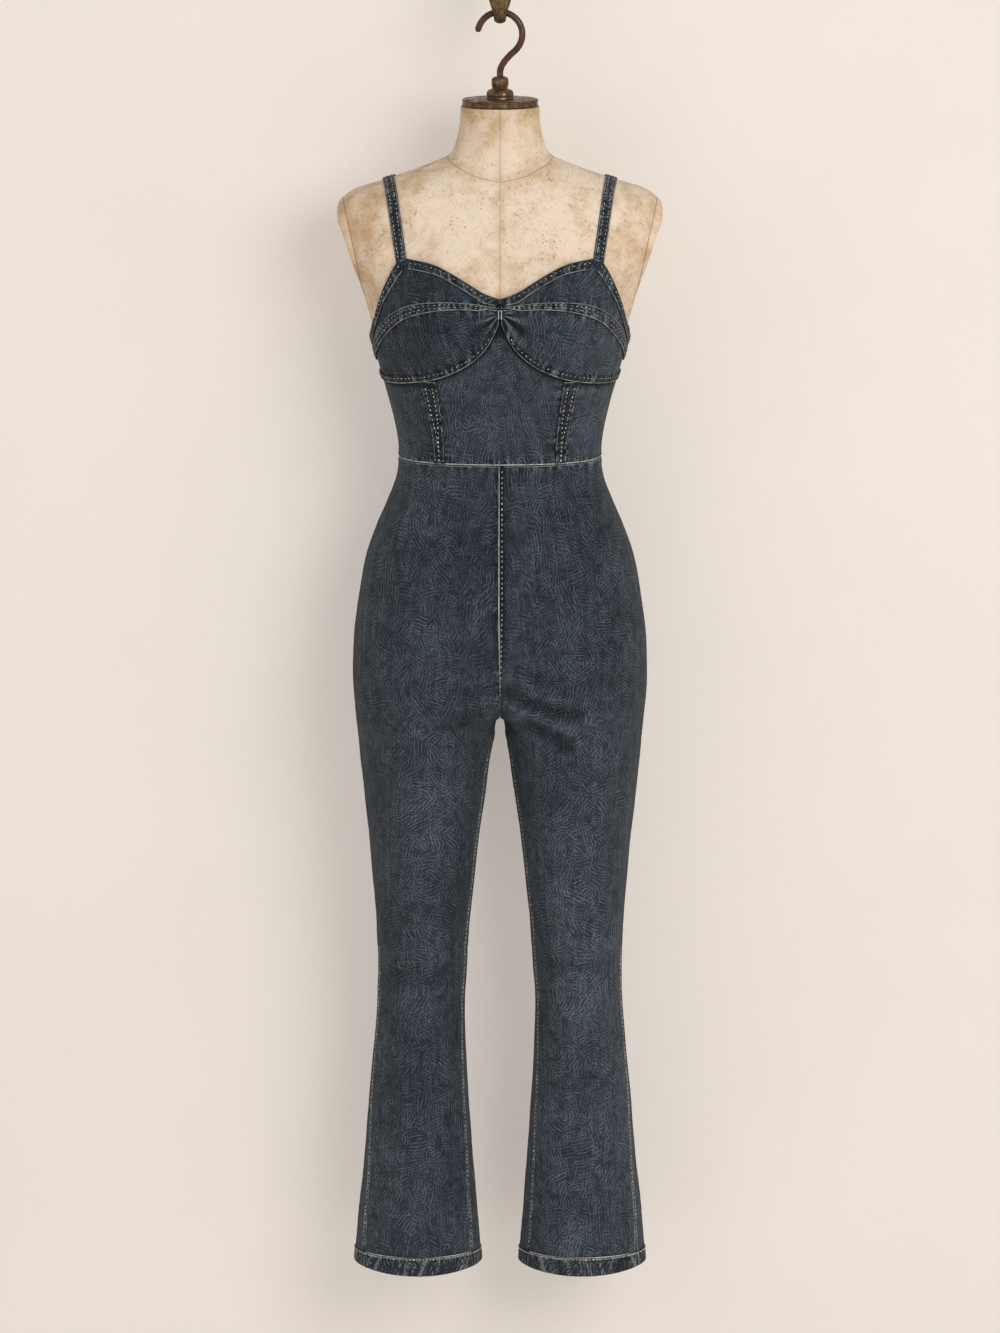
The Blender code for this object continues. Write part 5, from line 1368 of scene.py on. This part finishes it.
for side, way in (("left", 1), ("right", -1)):
    share, across = np.meshgrid(edge_spread(60), edge_spread(90, 0.4), indexing="ij")
    reach = read_curve(FIGURE, WAIST_Z + 0.07 + 0 * share, 1)
    last = 180 - np.degrees(ZIP_SLOT / reach)
    degrees = 90 + SEAM_TURN + across * (last - 90 - SEAM_TURN)
    z = WAIST_Z + HALF_GAP + (top_edge(degrees) - WAIST_Z - HALF_GAP) * share
    from_side = (degrees - 90) * MIDRIFF_ARC
    waist_pucker = pucker(MIDRIFF_ARC * degrees * way, z - WAIST_Z, 110, 0.0055, 3.0 + way)
    zip_pucker = pucker(z, np.abs(last - degrees) * MIDRIFF_ARC, 105, 0.006, 6.0 + way)
    out = OUTSIDE + 0.0004 * waist_pucker + 0.0004 * zip_pucker + seam_dip(z - WAIST_Z)
    out = out + back_waves(degrees, z, way) + seam_dip(from_side)
    # The puckers by the waist and the zip are painted lighter where raised and darker between:
    # painted light and shade.
    tint = 1.4 * waist_pucker + 1.1 * zip_pucker
    tint = tint + 0.14 * uneven(MIDRIFF_ARC * degrees * way, z, 10, 8.0)
    tint = tint - side_shadow(from_side, 0.016)
    cloth(f"bodice_rear_{side}", f"bodice_back_{side}", on_side(on_figure(degrees, z, out), way),
          tint, washed_denim, INSIDE_BODICE, rows=waist_line(z))
    degrees = 90.1 + (180 - BACK_BAND_END - 90.1) * np.linspace(0, 1, 110)
    turned, z = cup_grid(degrees, (top_edge(degrees) - BACK_BAND_DROP, top_edge(degrees)), (10,))
    wrinkled = pucker(MIDRIFF_ARC * turned, 0 * z, 112, 1.0, 4.0 + way)
    out = OUTSIDE + BAND_OUT + 0.0008 + rounded(*z.shape) + 0.0002 * wrinkled
    out = out + back_waves(turned, z, way)
    # Painted light and shade follow the band's puckers.
    cloth(f"back_top_strip_{side}", f"back_top_band_{side}",
          on_side(on_figure(turned, z, out), way), 0.6 * wrinkled, stitched_denim, INSIDE_BUST,
          thickness=BAND_CLOTH, slot="denim_bands",
          seams=(False, True, True, False))

# The straps are narrow tubes of denim pressed flat and sewn along both edges. They run
# from the top of each cup over the shoulder, and are tucked in behind the back band.
STRAP_WIDTH = 0.0135
STRAP_CLOTH = 0.0012
STRAP_LIFT = 0.0006
STRAP_TUCK = 1.035
STRAP_PIVOT_Z = -0.330
STRAP_START, STRAP_SWEEP = -2, 227
STRAP_LINE = ((0.00, 0.1175), (0.14, 0.1240), (0.32, 0.1325), (0.50, 0.1330), (0.75, 0.1080),
              (1.00, 0.0800))


def figure_holds(x, y, z):
    """Whether points are inside the figure."""
    back = y > FIGURE_Y
    low, high = np.where(back, 90.0, 0.0), np.where(back, 180.0, 90.0)
    for _ in range(22):
        middle = (low + high) / 2
        further = (figure(middle, z)[..., 0] < x) != back
        low, high = np.where(further, middle, low), np.where(further, high, middle)
    inside = np.abs(y - FIGURE_Y) < np.abs(figure(middle, z)[..., 1] - FIGURE_Y)
    widest = figure(np.full_like(z, 90.0), z)[..., 0]
    return inside & (widest > x) & (z <= FIGURE[0][0])


def strap_places(share, across, out):
    """Places on the left strap: share along it, across from -1 to 1, and how far out."""
    turn = math.radians(STRAP_START) + math.radians(STRAP_SWEEP) * share
    x = read_curve(STRAP_LINE, share) + across * STRAP_WIDTH / 2
    near, far = np.zeros_like(share), np.full_like(share, 0.25)
    for _ in range(22):
        middle = (near + far) / 2
        y, z = FIGURE_Y - middle * np.cos(turn), STRAP_PIVOT_Z + middle * np.sin(turn)
        held = figure_holds(x, y, z)
        near, far = np.where(held, middle, near), np.where(held, far, middle)
    places = np.stack([x, y, z], -1)
    normal = unit(np.cross(places[:, -1:] - places[:, :1], np.gradient(places, axis=0)))
    return places + normal * out[..., None]


share, across = np.meshgrid(np.linspace(0, STRAP_TUCK, 175), np.linspace(-1, 1, 11),
                            indexing="ij")
for side, way in (("left", 1), ("right", -1)):
    wrinkled = pucker(share * 0.47, 0 * share, 100, 1.0, 5.0 + 2 * way)
    crown = -0.0006 * across ** 8 + 0.0003 * fade(np.abs(across) - 0.82, 0.12)
    out = STRAP_LIFT + STRAP_CLOTH + 0.0004 + crown + 0.0002 * wrinkled
    out = out - 0.0012 * ease(0.98, 1.0, share)
    # Painted light and shade follow the strap's puckers.
    cloth(f"strap_cloth_{side}", f"strap_{side}", on_side(strap_places(share, across, out), way),
          0.5 * wrinkled, stitched_denim, (way * 0.12, FIGURE_Y, STRAP_PIVOT_Z),
          thickness=STRAP_CLOTH, slot="denim_bands")

# The zip is an antiqued metal coil of small teeth in a narrow slot, with a slider at the
# top and a flat pull tab that swings on it.
TOOTH_PITCH = 0.0024
TOOTH = (0.0034, 0.0011, 0.0016)
TEETH_TOP_Z = -0.4215

tree, given, result = new_group(
    "zip_finish", (("Metal", COLOUR), ("Dark", COLOUR)),
    (("Colour", COLOUR), ("Roughness", NUMBER), ("Height", NUMBER)))
place = add_node(tree, "ShaderNodeTexCoord").outputs["Object"]
rubbed = noise(tree, place, 700, 4, 0.6)
tree.links.new(mix_colours(tree, remap(tree, rubbed, 0.42, 0.62), given["Metal"], given["Dark"]),
               result["Colour"])
tree.links.new(remap(tree, rubbed, 0.3, 0.7, 0.28, 0.5), result["Roughness"])
tree.links.new(rubbed, result["Height"])
zip_metal = new_material("antiqued_zip_metal", tree, {"Metal": (0.26, 0.22, 0.17, 1),
                                                      "Dark": (0.09, 0.075, 0.06, 1)},
                         0.0001, Metallic=1.0)

bm = bmesh.new()
tooth_heights = np.arange(ZIP_END_Z + 0.004, TEETH_TOP_Z, TOOTH_PITCH)
edge_turn = 180 - np.degrees(0.0016 / read_curve(FIGURE, tooth_heights, 1))
tooth_places = on_figure(edge_turn, tooth_heights, np.full_like(tooth_heights, OUTSIDE - 0.0002))
slopes = np.gradient(tooth_places, axis=0)
for i, (place, slope) in enumerate(zip(tooth_places, slopes)):
    lean = math.atan2(-slope[1], slope[2])
    middle = Matrix.Translation((0.0006 if i % 2 else -0.0006, place[1], place[2]))
    bmesh.ops.create_cube(bm, size=1.0, matrix=middle @ Matrix.Rotation(lean, 4, "X")
                          @ Matrix.Diagonal((*TOOTH, 1)))
add_piece("zip_teeth", finish_bmesh(bm, "zip_teeth"), zip_metal, "zip_metal")
for node in ("zip_chain", "zip_slider", "zip_pull_tab"):
    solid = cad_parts[node]
    solid.data.materials.clear()
    solid.data.materials.append(zip_metal)

# The topstitching is thick off-white thread. It runs beside the seams in rows of short
# stitches that sink a little into the cloth.
tree, given, result = new_group(
    "thread_finish", (("Thread", COLOUR), ("Soiled", COLOUR)),
    (("Colour", COLOUR), ("Roughness", NUMBER), ("Height", NUMBER)))
place = add_node(tree, "ShaderNodeTexCoord").outputs["Object"]
soiled = noise(tree, place, 140, 3, 0.6)
dirty = remap(tree, soiled, 0.35, 0.58)
tree.links.new(mix_colours(tree, dirty, given["Thread"], given["Soiled"]), result["Colour"])
tree.links.new(remap(tree, soiled, 0.3, 0.7, 0.7, 0.85), result["Roughness"])
tree.links.new(noise(tree, place, 2500, 2), result["Height"])
thread_cotton = new_material("thread_cotton", tree, {"Thread": (0.68, 0.67, 0.63, 1),
                                                     "Soiled": (0.26, 0.27, 0.27, 1)}, 0.0001)


def row_on(way, surface):
    """Places along a line and the ways out of the cloth there, for one side."""
    places, further = surface(0.0), surface(0.001)
    return on_side(places, way), on_side(further - places, way)


def add_stitches(name, rows, pitch, length, thread):
    """Rows of thread stitches laid end to end along lines of places, as one piece."""
    spots = []
    for k, (places, outwards) in enumerate(rows):
        steps = np.linalg.norm(np.diff(places, axis=0), axis=1)
        run = np.concatenate([[0.0], np.cumsum(steps)])
        number = np.arange(int(run[-1] / pitch))
        at = (number + 0.5 + 0.12 * np.sin(7.3 * number + 1.7 * k)) * pitch
        along = np.gradient(places, axis=0)
        spot, way_on, way_out = (np.stack([np.interp(at, run, rows_of[:, i]) for i in range(3)], 1)
                                 for rows_of in (places, along, outwards))
        way_on = unit(way_on)
        beside = unit(np.cross(way_out, way_on))
        size = 1 + 0.15 * np.sin(3.1 * number + 3.4 * k)[:, None]
        up = np.cross(way_on, beside) * thread * 0.42
        spots.append(np.stack([spot, beside * size * thread / 2, up,
                               way_on * size * length / 2], 1))
    spots = np.concatenate(spots)
    bm = bmesh.new()
    bmesh.ops.create_uvsphere(bm, u_segments=6, v_segments=4, radius=1.0)
    made = 1
    while made < len(spots):
        copies = bmesh.ops.duplicate(bm, geom=bm.verts[:] + bm.edges[:] + bm.faces[:])["geom"]
        copies = [item for item in copies if isinstance(item, bmesh.types.BMVert)]
        bmesh.ops.translate(bm, verts=copies, vec=(3.0 * made, 0, 0))
        made *= 2
    spare = [vert for vert in bm.verts if vert.co.x > 3.0 * len(spots) - 1.5]
    bmesh.ops.delete(bm, geom=spare, context="VERTS")
    mesh = finish_bmesh(bm, name)
    ball = read_places(mesh)
    which = np.rint(ball[:, 0] / 3).astype(int)
    ball[:, 0] -= 3 * which
    chosen = spots[which]
    write_places(mesh, chosen[:, 0] + (chosen[:, 1:] * ball[:, :, None]).sum(1))
    add_piece(name, mesh, thread_cotton, "denim_bands", sharp=180)


def leg_row(way, face, top_z, low_z, find_share):
    """A row down a trouser panel, at the share across it that find_share gives."""
    z = np.linspace(top_z, low_z, 240)
    share = find_share(z)
    out = leg_out(way, face, share, z)[0] + 0.0001
    return row_on(way, lambda more: on_trousers(share, z, face, out + more))


def figure_row(way, degrees, z, out):
    """A row on the bodice, at a distance out from the figure."""
    return row_on(way, lambda more: on_figure(degrees, z, out + more))


def rise_share(away):
    """Share at a set distance from the centre seam."""
    return lambda z: away / ((read_curve(FIGURE, z, 1) + OUTSIDE) * np.pi / 2)


RISE_ROW_END_Z = -0.888
LEG_ROW_TOP_Z = -0.945
rows = [leg_row(1, "front", WAIST_Z - 0.004, RISE_ROW_END_Z, rise_share(0.0024)),
        leg_row(1, "back", ZIP_END_Z - 0.006, RISE_ROW_END_Z, rise_share(0.0042))]
add_stitches("rise_stitches", rows, pitch=0.0064, length=0.0030, thread=0.0014)
for side, way in (("left", 1), ("right", -1)):
    rows = [leg_row(way, "front", LEG_ROW_TOP_Z, HEM_TOP_Z + 0.002,
                    lambda z: row_share(z, INNER_ROW)),
            leg_row(way, "front", SIDE_ROW_TOP, HEM_TOP_Z + 0.002,
                    lambda z: 1 - row_share(z, SIDE_ROW))]
    add_stitches(f"leg_stitches_{side}", rows, pitch=0.0052, length=0.0034, thread=0.0010)

    around = np.linspace(0.0, 2.0, 400)
    level = np.full_like(around, 0.90)
    out = hem_roping(around, level, way)[1] + 0.0003
    rows = [row_on(way, lambda more: hem_places(around, level, out + more))]
    add_stitches(f"hem_stitches_{side}", rows, pitch=0.0042, length=0.0029, thread=0.0013)

    rows = []
    for name, shares in (("cup_seam", (0.36, 0.66)), ("underbust", (0.72,)),
                         ("neckline", (0.62,)), ("armhole", (0.62,))):
        low, high, first, last, extra = BANDS[name, side]
        for share in shares:
            degrees = np.linspace(max(first, 5.0), last, 300)
            z = low(degrees) + (high(degrees) - low(degrees)) * share
            out = cup_out(degrees, z, way)[0] + BAND_OUT + extra + 0.0009
            z = gathered(degrees, z) if name == "cup_seam" else z
            rows.append(figure_row(way, degrees, z, out))
    add_stitches(f"cup_stitches_{side}", rows, pitch=0.0064, length=0.0023, thread=0.0010)

    share = np.linspace(0.02, 0.98, 160)
    z = midriff_z(np.full_like(share, PRINCESS), share)
    spread = ease(0.15, 0.62, share) * princess_half(share)
    rows = [figure_row(way, PRINCESS + across * spread, z, OUTSIDE + BAND_OUT + 0.0014 + 0 * z)
            for across in (-0.42, 0.42)]
    add_stitches(f"princess_stitches_{side}", rows, pitch=0.0058, length=0.0024, thread=0.0014)

    degrees = np.linspace(90.4, 180 - BACK_BAND_END - 0.6, 300)
    rows = []
    for level in (0.20, 0.76):
        z = top_edge(degrees) - BACK_BAND_DROP * (1 - level)
        out = OUTSIDE + BAND_OUT + 0.0012 + back_waves(degrees, z, way)
        rows.append(figure_row(way, degrees, z, out))
    z = np.linspace(-0.440, WAIST_Z + 0.003, 200)
    degrees = 180 - np.degrees(0.0085 / read_curve(FIGURE, z, 1))
    rows.append(figure_row(way, degrees, z, OUTSIDE + 0.0002 + back_waves(degrees, z, way)))
    add_stitches(f"back_stitches_{side}", rows, pitch=0.0046, length=0.0028, thread=0.0012)

    share, across = np.meshgrid(np.linspace(0.0, 1.0, 170), (-0.45, 0.45), indexing="ij")
    out = STRAP_LIFT + STRAP_CLOTH + 0.0006 + 0 * share
    places, ways_out = row_on(way, lambda more: strap_places(share, across, out + more))
    rows = [(places[:, i], ways_out[:, i]) for i in (0, 1)]
    add_stitches(f"strap_stitches_{side}", rows, pitch=0.0054, length=0.0026, thread=0.0010)

# The set: a plain pale wall behind the form, a pale floor well below it, one large soft
# light from the right and a weak one from the left.
WALL_Y = 0.0006
WALL_GLOW = 0.75
FLOOR_Y, FLOOR_Z = -4.4, -1.82
STAGE_SIZE = 9.0
CAMERA_PLACE = (0.0, -10.003, 0.8142)
CAMERA_TILT = 80.5
CAMERA_LENS = 221.4
LIGHTS_AIM = (0, -0.1, -0.9)
LIGHT_SIZE = 2.6


def plain_wall(name, colour, bump):
    """A matt painted surface that is clear from behind, so the back can be looked at."""
    material = bpy.data.materials.new(name)
    material.use_nodes = True
    tree = material.node_tree
    shader = tree.nodes["Principled BSDF"]
    place = add_node(tree, "ShaderNodeTexCoord").outputs["Object"]
    cloudy = noise(tree, place, 2.2, 4, 0.6)
    colour = tuple(share / (1 + WALL_GLOW) for share in colour)
    tint = mix_colours(tree, remap(tree, cloudy, 0.35, 0.7), colour + (1,),
                       tuple(0.975 * share for share in colour) + (1,))
    tree.links.new(tint, shader.inputs["Base Color"])
    raised = add_node(tree, "ShaderNodeBump", {"Strength": 1.0, "Distance": bump,
                                               "Height": noise(tree, place, 14, 8, 0.62)})
    tree.links.new(raised.outputs[0], shader.inputs["Normal"])
    shader.inputs["Roughness"].default_value = 0.95
    tree.links.new(tint, shader.inputs["Emission Color"])
    shader.inputs["Emission Strength"].default_value = WALL_GLOW
    clear = add_node(tree, "ShaderNodeBsdfTransparent")
    facing = add_node(tree, "ShaderNodeNewGeometry").outputs["Backfacing"]
    both = add_node(tree, "ShaderNodeMixShader",
                    {0: facing, 1: shader.outputs[0], 2: clear.outputs[0]})
    tree.links.new(both.outputs[0], tree.nodes["Material Output"].inputs["Surface"])
    return material


def add_stage(name, size, matrix, material):
    bm = bmesh.new()
    bmesh.ops.create_grid(bm, x_segments=1, y_segments=1, size=size / 2, matrix=matrix)
    mesh = finish_bmesh(bm, name)
    item = bpy.data.objects.new(name, mesh)
    mesh.materials.append(material)
    bpy.context.scene.collection.objects.link(item)


plaster = plain_wall("cream_plaster", (0.83, 0.768, 0.708), 0.002)
upright = Matrix.Rotation(math.pi / 2, 4, "X")
add_stage("backdrop", STAGE_SIZE, Matrix.Translation((0, WALL_Y, 0)) @ upright, plaster)
add_stage("floor", STAGE_SIZE, Matrix.Translation((0, FLOOR_Y, FLOOR_Z)), plaster)


def add_light(name, place, power, colour):
    light = bpy.data.lights.new(name, "AREA")
    light.shape = "DISK"
    light.size = LIGHT_SIZE
    light.energy = power
    light.color = colour
    lamp = bpy.data.objects.new(name, light)
    bpy.context.scene.collection.objects.link(lamp)
    lamp.location = place
    aim = Vector(LIGHTS_AIM) - Vector(place)
    lamp.rotation_euler = aim.to_track_quat("-Z", "Y").to_euler()


add_light("key", (1.9, -3.9, 0.8), 106, (1.0, 0.985, 0.965))
add_light("fill", (-2.6, -3.2, 0.2), 19, (0.97, 0.985, 1.0))
world = bpy.data.worlds.new("soft_room")
world.use_nodes = True
glow = world.node_tree.nodes["Background"].inputs
glow["Color"].default_value = (1.0, 0.98, 0.95, 1)
glow["Strength"].default_value = 0.5
bpy.context.scene.world = world
bpy.context.scene.view_settings.view_transform = "Standard"

camera = bpy.data.objects.new("camera", bpy.data.cameras.new("camera"))
camera.data.lens = CAMERA_LENS
camera.data.clip_end = 60
camera.location = CAMERA_PLACE
camera.rotation_euler = (math.radians(CAMERA_TILT), 0.0, 0.0)
bpy.context.scene.collection.objects.link(camera)
bpy.context.scene.camera = camera
